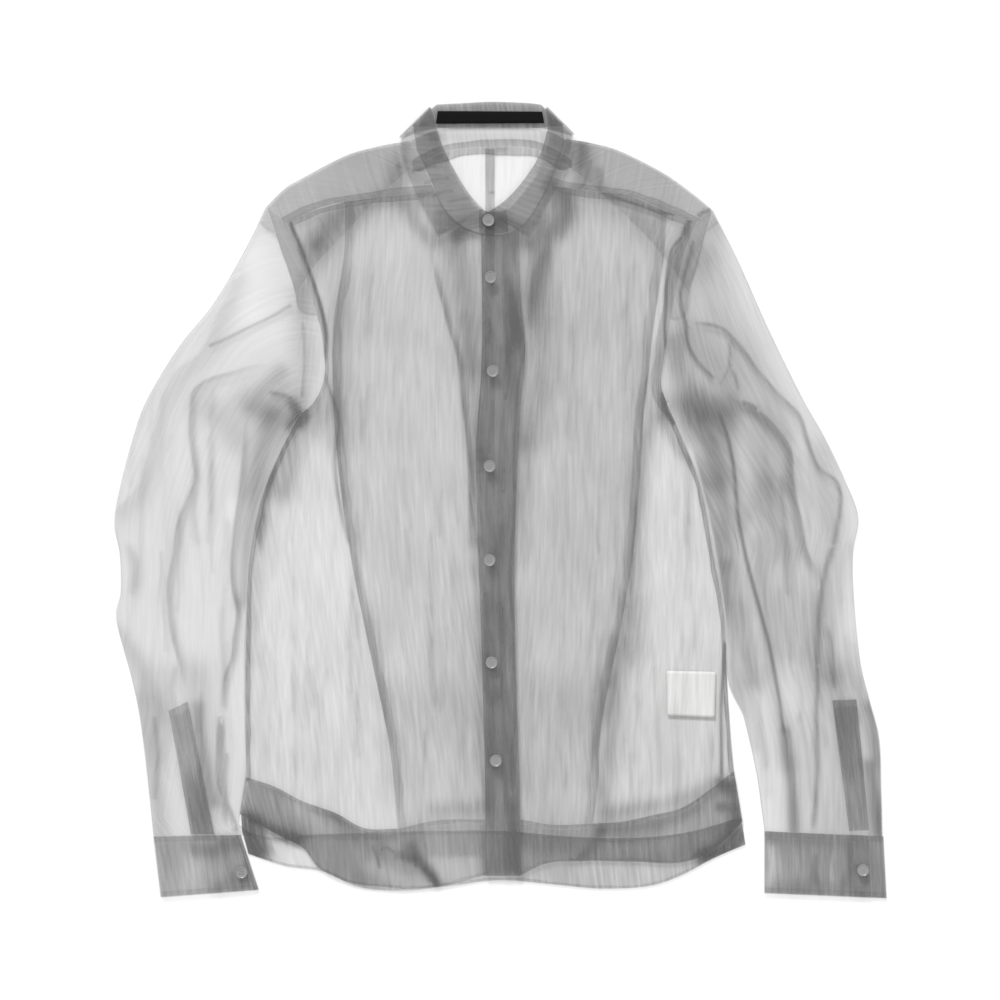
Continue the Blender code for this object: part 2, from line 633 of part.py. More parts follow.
def add_sleeve(name, table, creases, armhole_front, armhole_back, right_side):
    """A flat tube: its upper wall starts at the front armhole and its under wall at the back one."""
    outer = columns_of(table, SLEEVE_COLUMNS, ("outer_x", "outer_y"))
    inner = columns_of(table, SLEEVE_COLUMNS, ("inner_x", "inner_y"))
    tip, armpit = np.array(armhole_back[0], float), np.array(armhole_back[-1], float)
    away = -1 if right_side else 1
    outer = np.vstack([tip + [away * TIP_GAP, -TIP_GAP], outer])
    inner = np.vstack([armpit + [away * ARMPIT_GAP, 0], inner])
    count = (len(outer) - 1) * SLEEVE_ROWS_PER_SECTION + 1
    outer, inner = smooth(outer, count, even=False), smooth(inner, count, even=False)
    left, right = (outer, inner) if right_side else (inner, outer)
    radius = TUBE_HEIGHT / 2
    left_out, right_out = edge_normals(left, 1), edge_normals(right, -1)
    if left_out[count // 2, 0] > 0:
        left_out, right_out = -left_out, -right_out
    left_in, right_in = left - left_out * radius, right - right_out * radius

    def wall_points(armhole, steps):
        edge = moved(evenly(armhole, steps), away * ARMHOLE_GAP, 0)
        if not right_side:
            edge = edge[::-1]
        edge[0], edge[-1] = left_in[0], right_in[0]
        u = np.linspace(0, 1, steps + 1)[None, :, None]
        straight = (1 - u) * left_in[:, None] + u * right_in[:, None]
        fading = np.clip(1 - np.linspace(0, 1, count) / ARMHOLE_REACH, 0, 1) ** ARMHOLE_FADE
        return straight + (edge - straight[0])[None] * fading[:, None, None]

    front_edge = smooth(armhole_front, ARMHOLE_ROWS + 1)
    front_edge = np.vstack([armhole_back[:1], front_edge])
    back_edge = np.vstack([armhole_back[:1], smooth(armhole_back[2:], BACK_ARMHOLE_ROWS + 1)])
    fine = wall_points(front_edge, FINE_STEPS)
    under = wall_points(back_edge, UNDER_COLUMNS)
    lines = [columns_of(crease, CREASE_COLUMNS, ("x", "y", "height")) for crease in creases]
    rows = []
    for index in range(count):
        marks = crease_columns(lines, left_in[index], right_in[index])
        places = np.linspace(0, 1, fine.shape[1])
        upper = [
            (np.interp(s, places, fine[index, :, 0]), np.interp(s, places, fine[index, :, 1]), TUBE_HEIGHT + h)
            for s, h in marks
        ]
        right_fold = turned(right[index], right_out[index], radius, radius, 90, -90)[1:-1]
        left_fold = turned(left[index], left_out[index], radius, radius, -90, 90)[1:-1]
        lower = [(*point, 0) for point in under[index][::-1]]
        rows.append(upper + right_fold + lower + left_fold + upper[:1])
    bm = laid_grid(np.array(rows))
    bmesh.ops.remove_doubles(bm, verts=bm.verts, dist=MERGE * MM)
    piece = placed(name, bm, GAUZE)
    piece.data.shade_smooth()
    piece.data.set_sharp_from_angle(angle=math.radians(SHARP_CLOTH))
    thickened(piece, WALL, -1)


CUFF_ROWS = 2
CUFF_COLUMNS = 5


def add_cuff(name, corners, reach):
    """An open band round the wrist, laid flat, one end lying over the other on top."""
    top_outer, top_inner, low_inner, low_outer = (np.array(corner, float) for corner in corners)
    covering_from_inner = reach < 0.5
    width = np.linalg.norm(top_inner - top_outer)
    overlap = CUFF_OVERLAP / width
    covered = reach + overlap if covering_from_inner else reach - overlap
    small, large = (0.0, 1.0) if covering_from_inner else (1.0, 0.0)
    large_radius = (CUFF_TOP_OUTER + WALL) / 2
    small_radius = (CUFF_TOP_INNER + WALL) / 2
    rows = []
    for t in np.linspace(0, 1, CUFF_ROWS + 1):
        outer = top_outer + (low_outer - top_outer) * t
        inner = top_inner + (low_inner - top_inner) * t
        across = inner - outer

        def at(share, height):
            return [(*(outer + across * share), height)]

        def run(start, end, height):
            return sum((at(s, height) for s in np.linspace(start, end, CUFF_COLUMNS + 1)), [])

        outward = {0.0: -unit(across), 1.0: unit(across)}
        edges = {0.0: outer, 1.0: inner}
        inset_large = large_radius / width
        inset_small = small_radius / width
        large_flat = inset_large if large == 0.0 else 1 - inset_large
        small_flat = inset_small if small == 0.0 else 1 - inset_small
        rows.append(
            run(reach, large_flat, CUFF_TOP_OUTER + WALL)
            + turned(edges[large], outward[large], large_radius, large_radius, 90, -90)[1:-1]
            + run(large_flat, small_flat, 0)
            + turned(edges[small], outward[small], small_radius, small_radius, -90, 90)[1:-1]
            + run(small_flat, covered, CUFF_TOP_INNER + WALL)
        )
    sheet(name, np.array(rows))


def add_flat(name, corners, height, finish, columns, rows):
    """A small flat piece between four corners."""
    sheet(name, raised(four_sided(corners, columns, rows), height), finish=finish)


def collar_lines(front, fold, back, fold_left, front_left, end, turn):
    """Both long edges of a collar piece, as upper and lower points from the right front to the left."""
    names = {name: k for k, name in enumerate(COLLAR_COLUMNS)}
    height = names["stand_z"] if end == "neck" else names["leaf_z"]

    def section(row):
        lift = WALL if row[height] > FOLD_MIDDLE - WALL else 0
        z = row[height] + lift
        return (row[0], row[1], z), (row[names[end + "_x"]], row[names[end + "_y"]], z)

    def run(rows):
        rows = [row for row in rows if row[names[end + "_x"]] is not None]
        sections = [section(row) for row in rows]
        count = 2 * len(rows) - 1
        return [smooth([s[k] for s in sections], count, even=False) for k in range(2)]

    def bend(line, start, stop, mirror):
        roll, far = np.array(line[0], float), np.array(line[2], float)
        low = far if end == "free" else np.array(line[1], float)
        along = unit(far - roll)
        outward = np.array([along[1], -along[0]]) * mirror
        nested = (LEAF_TURN - turn)
        return [
            np.array(turned(point - outward * nested, outward, turn + WALL / 2, FOLD_MIDDLE, start, stop))
            for point in (roll, low)
        ]

    runs = [run(front), bend(fold, 90, -90, 1), run(back), bend(fold_left, -90, 90, -1), run(front_left)]
    return [np.concatenate([part[k] for part in runs]) for k in range(2)]


def add_collar():
    """The stand round the neck and the leaf that is turned down over it."""
    parts = (COLLAR_FRONT_RIGHT, COLLAR_FOLD_RIGHT, COLLAR_BACK, COLLAR_FOLD_LEFT, COLLAR_FRONT_LEFT)
    for name, end, turn, steps in (("collar_stand", "neck", STAND_TURN, 2), ("collar", "free", LEAF_TURN, 4)):
        upper, lower = collar_lines(*parts, end, turn)
        t = np.linspace(0, 1, steps + 1)[:, None, None]
        sheet(name, upper[None] + (lower - upper)[None] * t)


def add_button(name, place, height):
    bm = bmesh.new()
    radius = BUTTON_DIAMETER / 2 * MM
    bmesh.ops.create_cone(
        bm, cap_ends=True, segments=BUTTON_SIDES, radius1=radius, radius2=radius, depth=BUTTON_HEIGHT * MM
    )
    rims = [edge for edge in bm.edges if abs(edge.verts[0].co.z - edge.verts[1].co.z) < 1e-6]
    bmesh.ops.bevel(
        bm, geom=rims, offset=BUTTON_EDGE * MM, segments=1, profile=0.5, affect="EDGES", material=-1
    )
    bmesh.ops.translate(
        bm, verts=bm.verts, vec=(place[0] * MM, place[1] * MM, (height + BUTTON_HEIGHT / 2) * MM)
    )
    piece = placed(name, bm, BUTTON_RESIN)
    piece.data.shade_smooth()
    piece.data.set_sharp_from_angle(angle=math.radians(SHARP_BUTTON))


def add_buttons():
    add_button("button_stand", STAND_BUTTON, STAND_OVER + LEVEL)
    placket_top = FRONT + 3 * LEVEL
    for number, place in enumerate(PLACKET_BUTTONS, start=1):
        add_button(f"button_front_{number}", place, placket_top)
    add_button("button_cuff_right", CUFF_BUTTON_RIGHT, CUFF_TOP_OUTER + LEVEL)
    add_button("button_cuff_left", CUFF_BUTTON_LEFT, CUFF_TOP_OUTER + LEVEL)


def build_shirt():
    for old in list(bpy.data.objects):
        bpy.data.objects.remove(old, do_unlink=True)
    add_back()
    add_yoke()
    add_fronts()
    add_sleeve("sleeve_right", SLEEVE_RIGHT, CREASES_RIGHT, ARMHOLE_FRONT_RIGHT, ARMHOLE_BACK_RIGHT, True)
    add_sleeve("sleeve_left", SLEEVE_LEFT, CREASES_LEFT, ARMHOLE_FRONT_LEFT, ARMHOLE_BACK_LEFT, False)
    add_flat("sleeve_placket_right", SLIT_RIGHT, TUBE_HEIGHT + GAP, GAUZE, columns=1, rows=4)
    add_flat("sleeve_placket_left", SLIT_LEFT, TUBE_HEIGHT + GAP, GAUZE, columns=1, rows=4)
    add_cuff("cuff_right", CUFF_RIGHT, CUFF_REACH_RIGHT)
    add_cuff("cuff_left", CUFF_LEFT, CUFF_REACH_LEFT)
    add_collar()
    add_flat("neck_label", NECK_LABEL, STAND_UNDER + LEVEL, LABEL_BLACK, columns=4, rows=1)
    add_flat("care_label", CARE_LABEL, LEVEL, LABEL_WHITE, columns=1, rows=1)
    add_buttons()


build_shirt()
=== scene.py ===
# %% [markdown]
# A sheer formal shirt, buttoned and laid flat on a white table, seen straight from above. The
# cloth is crinkled gauze so thin that every layer under it shows. How dark a place looks is
# how many plies lie there, so this script builds every layer and lets light through all of them.
#
# First the imported solid model is loaded. It is the frame: each piece made here lies exactly
# where its solid lies.

# %% Load the frame
import math

import bmesh
import bpy
import numpy as np
from mathutils import Matrix, Vector


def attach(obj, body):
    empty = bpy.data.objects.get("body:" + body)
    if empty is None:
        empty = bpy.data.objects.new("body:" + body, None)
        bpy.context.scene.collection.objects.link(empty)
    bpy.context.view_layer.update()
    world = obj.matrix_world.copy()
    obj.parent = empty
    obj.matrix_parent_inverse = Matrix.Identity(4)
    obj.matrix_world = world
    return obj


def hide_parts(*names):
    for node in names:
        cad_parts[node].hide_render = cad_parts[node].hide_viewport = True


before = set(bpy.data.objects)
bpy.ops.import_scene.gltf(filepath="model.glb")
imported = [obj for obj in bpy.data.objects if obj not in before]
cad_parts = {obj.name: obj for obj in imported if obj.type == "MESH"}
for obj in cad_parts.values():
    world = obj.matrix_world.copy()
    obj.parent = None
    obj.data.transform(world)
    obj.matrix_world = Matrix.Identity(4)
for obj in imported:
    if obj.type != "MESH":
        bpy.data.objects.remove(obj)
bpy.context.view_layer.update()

# %% [markdown]
# All sizes are in millimetres, as a maker would write them, and turned to metres when a mesh
# is made. The cloth lies in levels: the back on the table, then the facings, then the fronts,
# and then the placket. A level is one wall of the solid model and the small gap above it.

# %% Sizes shared with the solid model
MM = 0.001
WALL = 1.0
GAP = 0.3
LEVEL = WALL + GAP
SEAM = 0.1
FRONT = 2 * LEVEL
TUBE_HEIGHT = FRONT + WALL
MIDDLE_OF_WALL = WALL / 2
FOLD_MIDDLE = 3.1
STAND_TURN = 1.3
LEAF_TURN = STAND_TURN + LEVEL
print("one level is", LEVEL, "mm, and a sleeve pressed flat is", TUBE_HEIGHT, "mm high")

# %% [markdown]
# A pattern cutter draws seam lines first. These short tables hold each seam as a few points
# from top to bottom, or from the wearer's right to the left, and a smooth line is run through
# them. +X is the wearer's left, which is on the right of the picture, and +Y is the collar.

# %% Seam lines
SIDE_RIGHT = [(-191, 81), (-206, 52), (-227, 1), (-238, -56), (-241, -113), (-242, -189),
              (-241, -262)]
SIDE_LEFT = [(159, 91), (172, 62), (191, 12), (202, -48), (212, -101), (216, -180), (222, -256)]
ARMHOLE_FRONT_RIGHT = [(-203, 264), (-192, 236), (-180, 198), (-168, 150), (-168, 112),
                       (-178, 92), (-191, 81)]
ARMHOLE_FRONT_LEFT = [(186, 264), (174, 232), (167, 200), (160, 162), (155, 129), (153, 110), (159, 91)]
ARMHOLE_BACK_RIGHT = [(-222, 279), (-209, 240), (-194, 196), (-193, 143), (-191, 81)]
ARMHOLE_BACK_LEFT = [(202, 276), (190, 238), (180, 196), (170, 140), (159, 91)]
YOKE_SEAM_RIGHT = [(-203, 264), (-184, 273), (-147, 284), (-104, 290), (-62, 294)]
YOKE_SEAM_LEFT = [(45, 300), (88, 294), (127, 288), (158, 275), (186, 264)]
NECK_RIGHT = [(-62, 294), (-48, 272), (-34, 260), (-18, 254)]
NECK_LEFT = [(18, 258), (32, 276), (45, 300)]
NECK_MIDDLE = [(-18, 254), (0, 253), (18, 258)]
FACING_EDGE_RIGHT = [(-147, 284), (-148, 235), (-158, 170), (-159, 110), (-153, 27), (-142, -51),
                     (-121, -155), (-105, -233), (-97, -311)]
FACING_EDGE_LEFT = [(158, 275), (156, 235), (151, 200), (145, 160), (141, 120), (136, 80), (133, 27),
                    (126, -51), (113, -129), (100, -191), (94, -233), (93, -270), (88, -306)]
PLACKET_EDGE_RIGHT = [(-18, 254), (-17, 190), (-18, 120), (-23, 48), (-22, 0), (-19, -94),
                      (-16, -189), (-14, -284), (-14, -302)]
PLACKET_EDGE_LEFT = [(18, 258), (20, 191), (24, 143), (20, 90), (16, 20), (14, -94),
                     (16, -189), (19, -284), (19, -302)]
HEM_TOP_RIGHT = [(-241, -262), (-214, -271), (-189, -284), (-154, -297), (-130, -310), (-97, -311)]
HEM_TOP_MIDDLE_RIGHT = [(-97, -311), (-60, -303), (-14, -302)]
HEM_TOP_PLACKET = [(-14, -302), (19, -302)]
HEM_TOP_MIDDLE_LEFT = [(19, -302), (50, -307), (88, -306)]
HEM_TOP_LEFT = [(88, -306), (117, -304), (145, -298), (170, -292), (200, -273), (222, -256)]
HEM_RIGHT = [(-247, -297), (-206, -319), (-186, -330), (-173, -347), (-148, -360), (-92, -368)]
HEM_MIDDLE_RIGHT = [(-92, -368), (-60, -366), (-14, -355)]
HEM_PLACKET = [(-14, -355), (20, -355)]
HEM_MIDDLE_LEFT = [(20, -355), (40, -345), (86, -341)]
HEM_LEFT = [(86, -341), (126, -342), (180, -341), (206, -328), (230, -304)]
BACK_SEAM = [(-194, 196), (-173, 227), (-148, 253), (-122, 281), (-86, 314), (-50, 332), (-8, 336),
             (38, 333), (71, 313), (106, 283), (137, 253), (159, 227), (180, 196)]
BACK_HEM_TOP = [(-245, -313), (-206, -320), (-180, -317), (-131, -315), (-52, -313), (0, -313),
                (60, -318), (120, -320), (180, -314), (229, -300)]
BACK_HEM = [(-239, -335), (-206, -346), (-161, -354), (-144, -363), (-95, -370), (-52, -366), (0, -360),
            (51, -364), (100, -368), (152, -363), (177, -353), (199, -341), (233, -326)]
print("from the back seam to the hem, mm:", BACK_SEAM[6][1] - BACK_HEM[6][1])

# %% [markdown]
# Every line above has to become a smooth curve with as many points as a mesh needs. A cubic
# that passes through the given points is enough for a seam, and it never leaves the points
# far. A panel is then filled in between four such curves, which is called a Coons patch: the
# quickest way to a clean grid whose rows and columns follow the edges of the cloth.

# %% Lines and patches
def smooth(points, count, even=True):
    """Points along a smooth line through the given ones, spaced evenly or as the given ones are."""
    given = np.array(points, float)
    steps = np.linalg.norm(np.diff(given, axis=0), axis=1) if even else np.ones(len(given) - 1)
    reach = np.concatenate([[0], np.cumsum(steps)])
    slope = np.gradient(given, reach, axis=0, edge_order=1)
    places = np.linspace(0, reach[-1], count)
    spans = np.clip(np.searchsorted(reach, places, side="right") - 1, 0, len(given) - 2)
    length = (reach[spans + 1] - reach[spans])[:, None]
    t = (places - reach[spans])[:, None] / length
    return (
        (1 + 2 * t) * (1 - t) ** 2 * given[spans]
        + t * (1 - t) ** 2 * length * slope[spans]
        + t * t * (3 - 2 * t) * given[spans + 1]
        + t * t * (t - 1) * length * slope[spans + 1]
    )


def chain(*lines):
    """Smooth lines that meet at a corner, each given with its number of steps."""
    made = [smooth(points, steps + 1) for points, steps in lines]
    return np.concatenate([made[0]] + [line[1:] for line in made[1:]])


def evenly(line, steps):
    """Points evenly spaced along the straight stretches of a line."""
    reach = np.concatenate([[0], np.cumsum(np.linalg.norm(np.diff(line, axis=0), axis=1))])
    places = np.linspace(0, reach[-1], steps + 1)
    return np.column_stack([np.interp(places, reach, line[:, k]) for k in range(line.shape[1])])


def patch(left, right, top, bottom):
    """Coons patch: points between four lines, as rows from top to bottom."""
    v = np.linspace(0, 1, len(left))[:, None, None]
    u = np.linspace(0, 1, len(top))[None, :, None]
    across = (1 - u) * left[:, None] + u * right[:, None]
    along = (1 - v) * top[None] + v * bottom[None]
    corners = (
        (1 - u) * (1 - v) * top[0]
        + u * (1 - v) * top[-1]
        + (1 - u) * v * bottom[0]
        + u * v * bottom[-1]
    )
    return across + along - corners


def beside(parts):
    """Grids joined side by side. Each starts with the line that the one before it ends with."""
    return np.concatenate([parts[0]] + [part[:, 1:] for part in parts[1:]], axis=1)


def below(parts):
    """Grids joined one below the other, in the same way."""
    return np.concatenate([parts[0]] + [part[1:] for part in parts[1:]], axis=0)


def moved(points, dx, dy):
    """Points moved in plan."""
    return points + np.array([dx, dy] + [0] * (points.shape[-1] - 2))


def unit(vector):
    """The same direction with length 1."""
    return np.array(vector, float) / np.linalg.norm(vector)


def ease(low, high, value):
    """0 below low, 1 above high and a soft step between them."""
    t = np.clip((value - low) / (high - low), 0, 1)
    return t * t * (3 - 2 * t)


def away_from(line, points):
    """How far each point lies from a line, how far along it the nearest place is, 0 to 1, and
    whether the point is on the left hand of someone who walks along it (1) or on the right (-1)."""
    flat = points.reshape(-1, points.shape[-1])[:, :2]
    best, share, hand = np.full(len(flat), 1e9), np.zeros(len(flat)), np.ones(len(flat))
    pieces = len(line) - 1
    for k in range(pieces):
        start, step = line[k, :2], line[k + 1, :2] - line[k, :2]
        to_point = flat - start
        t = np.clip(to_point @ step / max(step @ step, 1e-9), 0, 1)
        distance = np.linalg.norm(to_point - t[:, None] * step, axis=1)
        closer = distance < best
        best[closer] = distance[closer]
        share[closer] = ((k + t) / pieces)[closer]
        hand[closer] = np.where(step[0] * to_point[:, 1] > step[1] * to_point[:, 0], 1, -1)[closer]
    return [values.reshape(points.shape[:2]) for values in (best, share, hand)]


def length_of(line):
    """How long a line is."""
    return float(np.linalg.norm(np.diff(np.array(line, float), axis=0), axis=1).sum())


print("back seam, mm long:", round(length_of(smooth(BACK_SEAM, 99))))

# %% [markdown]
# Crinkled gauze is woven from hard-twisted threads that pull it into long, uneven ridges along
# its length. A table of random numbers, read smoothly between its entries, gives such a
# relief: it is stretched along the cloth, so the ridges come out long and narrow. The table
# starts from a fixed seed, so that every run gives the same shirt.

# %% Crinkles
RIDGE_WIDTH = 5.0
RIDGE_LENGTH = 46.0
FINE_WIDTH = 2.6
FINE_LENGTH = 20.0
COARSE_SHARE = 0.62
FINE_SHARE = 0.38
DRIFT = 7
DRIFT_WIDTH = 60
DRIFT_LENGTH = 90
TABLE_SIDE = 256


def uneven(x, y, seed):
    """Smooth random numbers from -1 to 1 over the plane, one step of x or y to an entry."""
    table = np.random.default_rng(seed).random((TABLE_SIDE, TABLE_SIDE)) * 2 - 1
    left, low = np.floor(x).astype(int), np.floor(y).astype(int)
    fx, fy = x - left, y - low
    fx, fy = fx * fx * (3 - 2 * fx), fy * fy * (3 - 2 * fy)

    def entry(dx, dy):
        return table[(left + dx) % TABLE_SIDE, (low + dy) % TABLE_SIDE]

    return (
        entry(0, 0) * (1 - fx) * (1 - fy)
        + entry(1, 0) * fx * (1 - fy)
        + entry(0, 1) * (1 - fx) * fy
        + entry(1, 1) * fx * fy
    )


def crinkle(u, v, seed):
    """The relief of the gauze, from about -1 to 1. u runs across the threads and v along them."""
    drift = DRIFT * uneven(u / DRIFT_WIDTH, v / DRIFT_LENGTH, seed + 1)
    coarse = uneven((u + drift) / RIDGE_WIDTH, v / RIDGE_LENGTH, seed)
    fine = uneven((u + drift) / FINE_WIDTH, v / FINE_LENGTH, seed + 2)
    return COARSE_SHARE * coarse + FINE_SHARE * fine


sample = crinkle(np.arange(100.0), np.zeros(100), 0)
print("relief over 100 mm, from", round(float(sample.min()), 2), "to", round(float(sample.max()), 2))

# %% [markdown]
# Each piece becomes a mesh from a grid of points. Two facts go with every point: where it is on
# the flat cloth, as a UV map in metres, and how many plies of gauze lie there, as an attribute
# named cover. A folded edge or a seam has more plies than the open cloth, so one mesh can carry
# all of its hems and still be drawn by one material.

# %% Cloth from a grid of points
cloth_pieces = []


def placed(name, data):
    """Makes an object from a mesh, a light or a camera and puts it in the scene."""
    made = bpy.data.objects.new(name, data)
    bpy.context.collection.objects.link(made)
    return made


def mesh_from(name, bm):
    """Ends the work on a bmesh: its geometry becomes a mesh."""
    mesh = bpy.data.meshes.new(name)
    bm.to_mesh(mesh)
    bm.free()
    return mesh


def cloth_mesh(name, points, cover):
    """A mesh through a grid of points in mm, rows from top to bottom, columns from left to right."""
    rows, columns = points.shape[:2]
    across = np.linalg.norm(np.diff(points, axis=1), axis=2)
    u = np.concatenate([np.zeros((rows, 1)), np.cumsum(across, axis=1)], axis=1)
    u -= u[:, columns // 2][:, None]
    down = np.linalg.norm(np.diff(points[:, columns // 2], axis=0), axis=1)
    v = np.broadcast_to(np.concatenate([[0], np.cumsum(down)])[:, None], (rows, columns))
    bm = bmesh.new()
    bmesh.ops.create_grid(bm, x_segments=columns - 1, y_segments=rows - 1, size=1)
    layer = bm.verts.layers.float.new("cover")
    uv_layer = bm.loops.layers.uv.new("cloth")
    flat_points = (points[::-1] * MM).reshape(-1, 3).tolist()
    flat_cover = np.broadcast_to(cover, (rows, columns))[::-1].reshape(-1).tolist()
    uvs = (np.dstack([u, -v])[::-1].reshape(-1, 2) * MM).tolist()
    for vertex, place, plies in zip(bm.verts, flat_points, flat_cover):
        vertex.co = place
        vertex[layer] = plies
    bm.verts.index_update()
    for face in bm.faces:
        face.smooth = True
        for loop in face.loops:
            loop[uv_layer].uv = uvs[loop.vert.index]
    piece = placed(name, mesh_from(name, bm))
    cloth_pieces.append(piece)
    return piece


def thickened(piece, wall):
    """Gives a label its thickness, half to each side."""
    solid = piece.modifiers.new("Plies", "SOLIDIFY")
    solid.thickness = wall * MM
    solid.offset = 0
    return piece


def dressed(piece, node, finish):
    """The piece takes a material, rides with the shirt and stands in for its solid."""
    piece.data.materials.append(finish)
    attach(piece, "root")
    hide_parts(node)
    return piece


def plan_area(points):
    """The area of a grid of points, in square metres, before any crinkles."""
    a, b = points[:-1, :-1] * MM, points[:-1, 1:] * MM
    c, d = points[1:, 1:] * MM, points[1:, :-1] * MM
    first = np.linalg.norm(np.cross(b - a, c - a), axis=-1)
    second = np.linalg.norm(np.cross(c - a, d - a), axis=-1)
    return float((first + second).sum() / 2)


NARROWEST_CUT = 0.010


def declared(piece, flat, area, on):
    """Prints what this sheet was cut to."""
    width, length = (max(side, NARROWEST_CUT) for side in flat)
    area = min(area, width * length)
    print(f"{piece.name}: cut {width / MM:.0f} x {length / MM:.0f} mm, {area:.3f} square metres")


print("helpers for cloth are ready; a cut is at least", NARROWEST_CUT, "m wide")

# %% [markdown]
# Colours are written as the hex numbers a screen shows, and one function turns them into the
# linear numbers that light works with. Materials are built from nodes, and one small function
# adds a node and fills or links its sockets, so that each material reads as a short list.

# %% Colour and node helpers
def srgb(code):
    """A hex colour such as #5a5a5a as linear red, green, blue and 1."""
    parts = [int(code[k:k + 2], 16) / 255 for k in (1, 3, 5)]
    return (*[p / 12.92 if p <= 0.04045 else ((p + 0.055) / 1.055) ** 2.4 for p in parts], 1)


def add(tree, kind, inputs=None, **settings):
    """Adds a node. Inputs are values, or sockets to link; settings are the node's own."""
    node = tree.nodes.new(kind)
    for key, value in settings.items():
        setattr(node, key, value)
    for key, value in (inputs or {}).items():
        if isinstance(value, bpy.types.NodeSocket):
            tree.links.new(value, node.inputs[key])
        else:
            node.inputs[key].default_value = value
    return node


def math_node(tree, operation, first, second=0.0, third=0.0, clamp=False):
    """Adds a math node and returns its result."""
    inputs = {0: first, 1: second, 2: third}
    return add(tree, "ShaderNodeMath", inputs, operation=operation, use_clamp=clamp).outputs[0]


def new_material(name, colour, settings):
    """A material with one colour. Settings are values for the shader's own sockets."""
    made = bpy.data.materials.new(name)
    made.use_nodes = True
    shader = made.node_tree.nodes["Principled BSDF"]
    for key, value in {"Base Color": srgb(colour), **settings}.items():
        shader.inputs[key].default_value = value
    return made


THREAD = "#545454"
print("the gauze's thread colour in linear light:", round(srgb(THREAD)[0], 3))


# %% [markdown]
# One ply of this gauze covers about a twelfth of what is behind it: the threads are dark grey
# and the rest is air. Several plies cover 1 - (1 - one ply) to the power of their number, which
# is what the first math nodes work out. The cover attribute gives the plies of the open cloth,
# and the band attribute gives the distance to a seam or a fold, measured in widths of its turned
# edge, so that the edge of a seam stays sharp however coarse the mesh is. The crease attribute
# does the same for a thin fold: it is the distance to it, negative on one side, and the shader
# draws a bell over it, as high as the plies in the crease_plies attribute.
#
# Noise stretched along the threads then makes the cloth uneven. That is what crinkled gauze is
# known by: the same ply is thinner in one streak and denser in the next.

# %% The gauze
ONE_PLY = 0.085
STREAK_WIDTH_MM = 3.4
STREAK_LENGTH_MM = 42.0
HAIR_WIDTH_MM = 1.5
HAIR_LENGTH_MM = 26.0
CLOUD_MM = 38.0
HAIR_WEIGHT = 0.6
CLOUD_WEIGHT = 0.5
NOISE_MEAN = 1.05
LEAST_SPREAD = 0.25
BAND_EDGE = {"From Min": 1.06, "From Max": 0.94, "To Min": 0.0, "To Max": 1.0}
STITCH_PLACE = 0.88
STITCH_EDGE = {"From Min": 0.09, "From Max": 0.03, "To Min": 0.0, "To Max": 0.4}
GAUZE_SHADER = {"Roughness": 0.7, "Sheen Weight": 0.15, "Sheen Roughness": 0.5}


def gauze(name, thread, uneven_by=0.7):
    """Silk gauze. Its plies come from the attributes cover, band, plies, crease and crease_plies."""
    made = new_material(name, thread, GAUZE_SHADER)
    tree = made.node_tree
    uv = add(tree, "ShaderNodeUVMap", uv_map="cloth").outputs["UV"]

    def streaks(across_mm, along_mm, shift):
        scale = (1 / (across_mm * MM), 1 / (along_mm * MM), 1)
        place = {"Vector": uv, "Scale": scale, "Location": (shift, shift, 0)}
        stretched = add(tree, "ShaderNodeMapping", place).outputs[0]
        settings = {"Vector": stretched, "Scale": 1.0, "Detail": 0.0}
        return add(tree, "ShaderNodeTexNoise", settings, noise_dimensions="2D").outputs["Fac"]

    wide = streaks(STREAK_WIDTH_MM, STREAK_LENGTH_MM, 0.0)
    hair = streaks(HAIR_WIDTH_MM, HAIR_LENGTH_MM, 7.0)
    cloud = streaks(CLOUD_MM, 2 * CLOUD_MM, 3.0)
    mixed = math_node(tree, "MULTIPLY_ADD", cloud, CLOUD_WEIGHT, wide)
    mixed = math_node(tree, "MULTIPLY_ADD", hair, HAIR_WEIGHT, mixed)
    spread = math_node(tree, "MULTIPLY_ADD", mixed, uneven_by, 1 - NOISE_MEAN * uneven_by)
    spread = math_node(tree, "MAXIMUM", spread, LEAST_SPREAD)

    def attribute(kind):
        return add(tree, "ShaderNodeAttribute", attribute_name=kind).outputs["Fac"]

    def step(value, edge):
        return add(tree, "ShaderNodeMapRange", {"Value": value, **edge}).outputs[0]

    band, plies, cover = attribute("band"), attribute("plies"), attribute("cover")
    from_stitch = math_node(tree, "ABSOLUTE", math_node(tree, "SUBTRACT", band, STITCH_PLACE))
    profile = math_node(tree, "ADD", step(band, BAND_EDGE), step(from_stitch, STITCH_EDGE))
    crease = attribute("crease")
    squared = math_node(tree, "MULTIPLY", crease, crease)
    bell = math_node(tree, "EXPONENT", math_node(tree, "MULTIPLY", squared, -1.0))
    folded = math_node(tree, "MULTIPLY_ADD", bell, attribute("crease_plies"), cover)
    total = math_node(tree, "MULTIPLY_ADD", profile, plies, folded)
    uneven_total = math_node(tree, "MULTIPLY", total, spread)
    left_open = math_node(tree, "POWER", 1 - ONE_PLY, uneven_total)
    alpha = math_node(tree, "SUBTRACT", 1.0, left_open, clamp=True)
    tree.links.new(alpha, tree.nodes["Principled BSDF"].inputs["Alpha"])
    return made


crinkled_gauze = gauze("crinkled_silk_gauze", THREAD)
faced_gauze = gauze("faced_silk_gauze", THREAD, uneven_by=0.6)
plain_gauze = gauze("pressed_silk_gauze", THREAD, uneven_by=0.45)
print("materials so far:", crinkled_gauze.name, faced_gauze.name, plain_gauze.name)
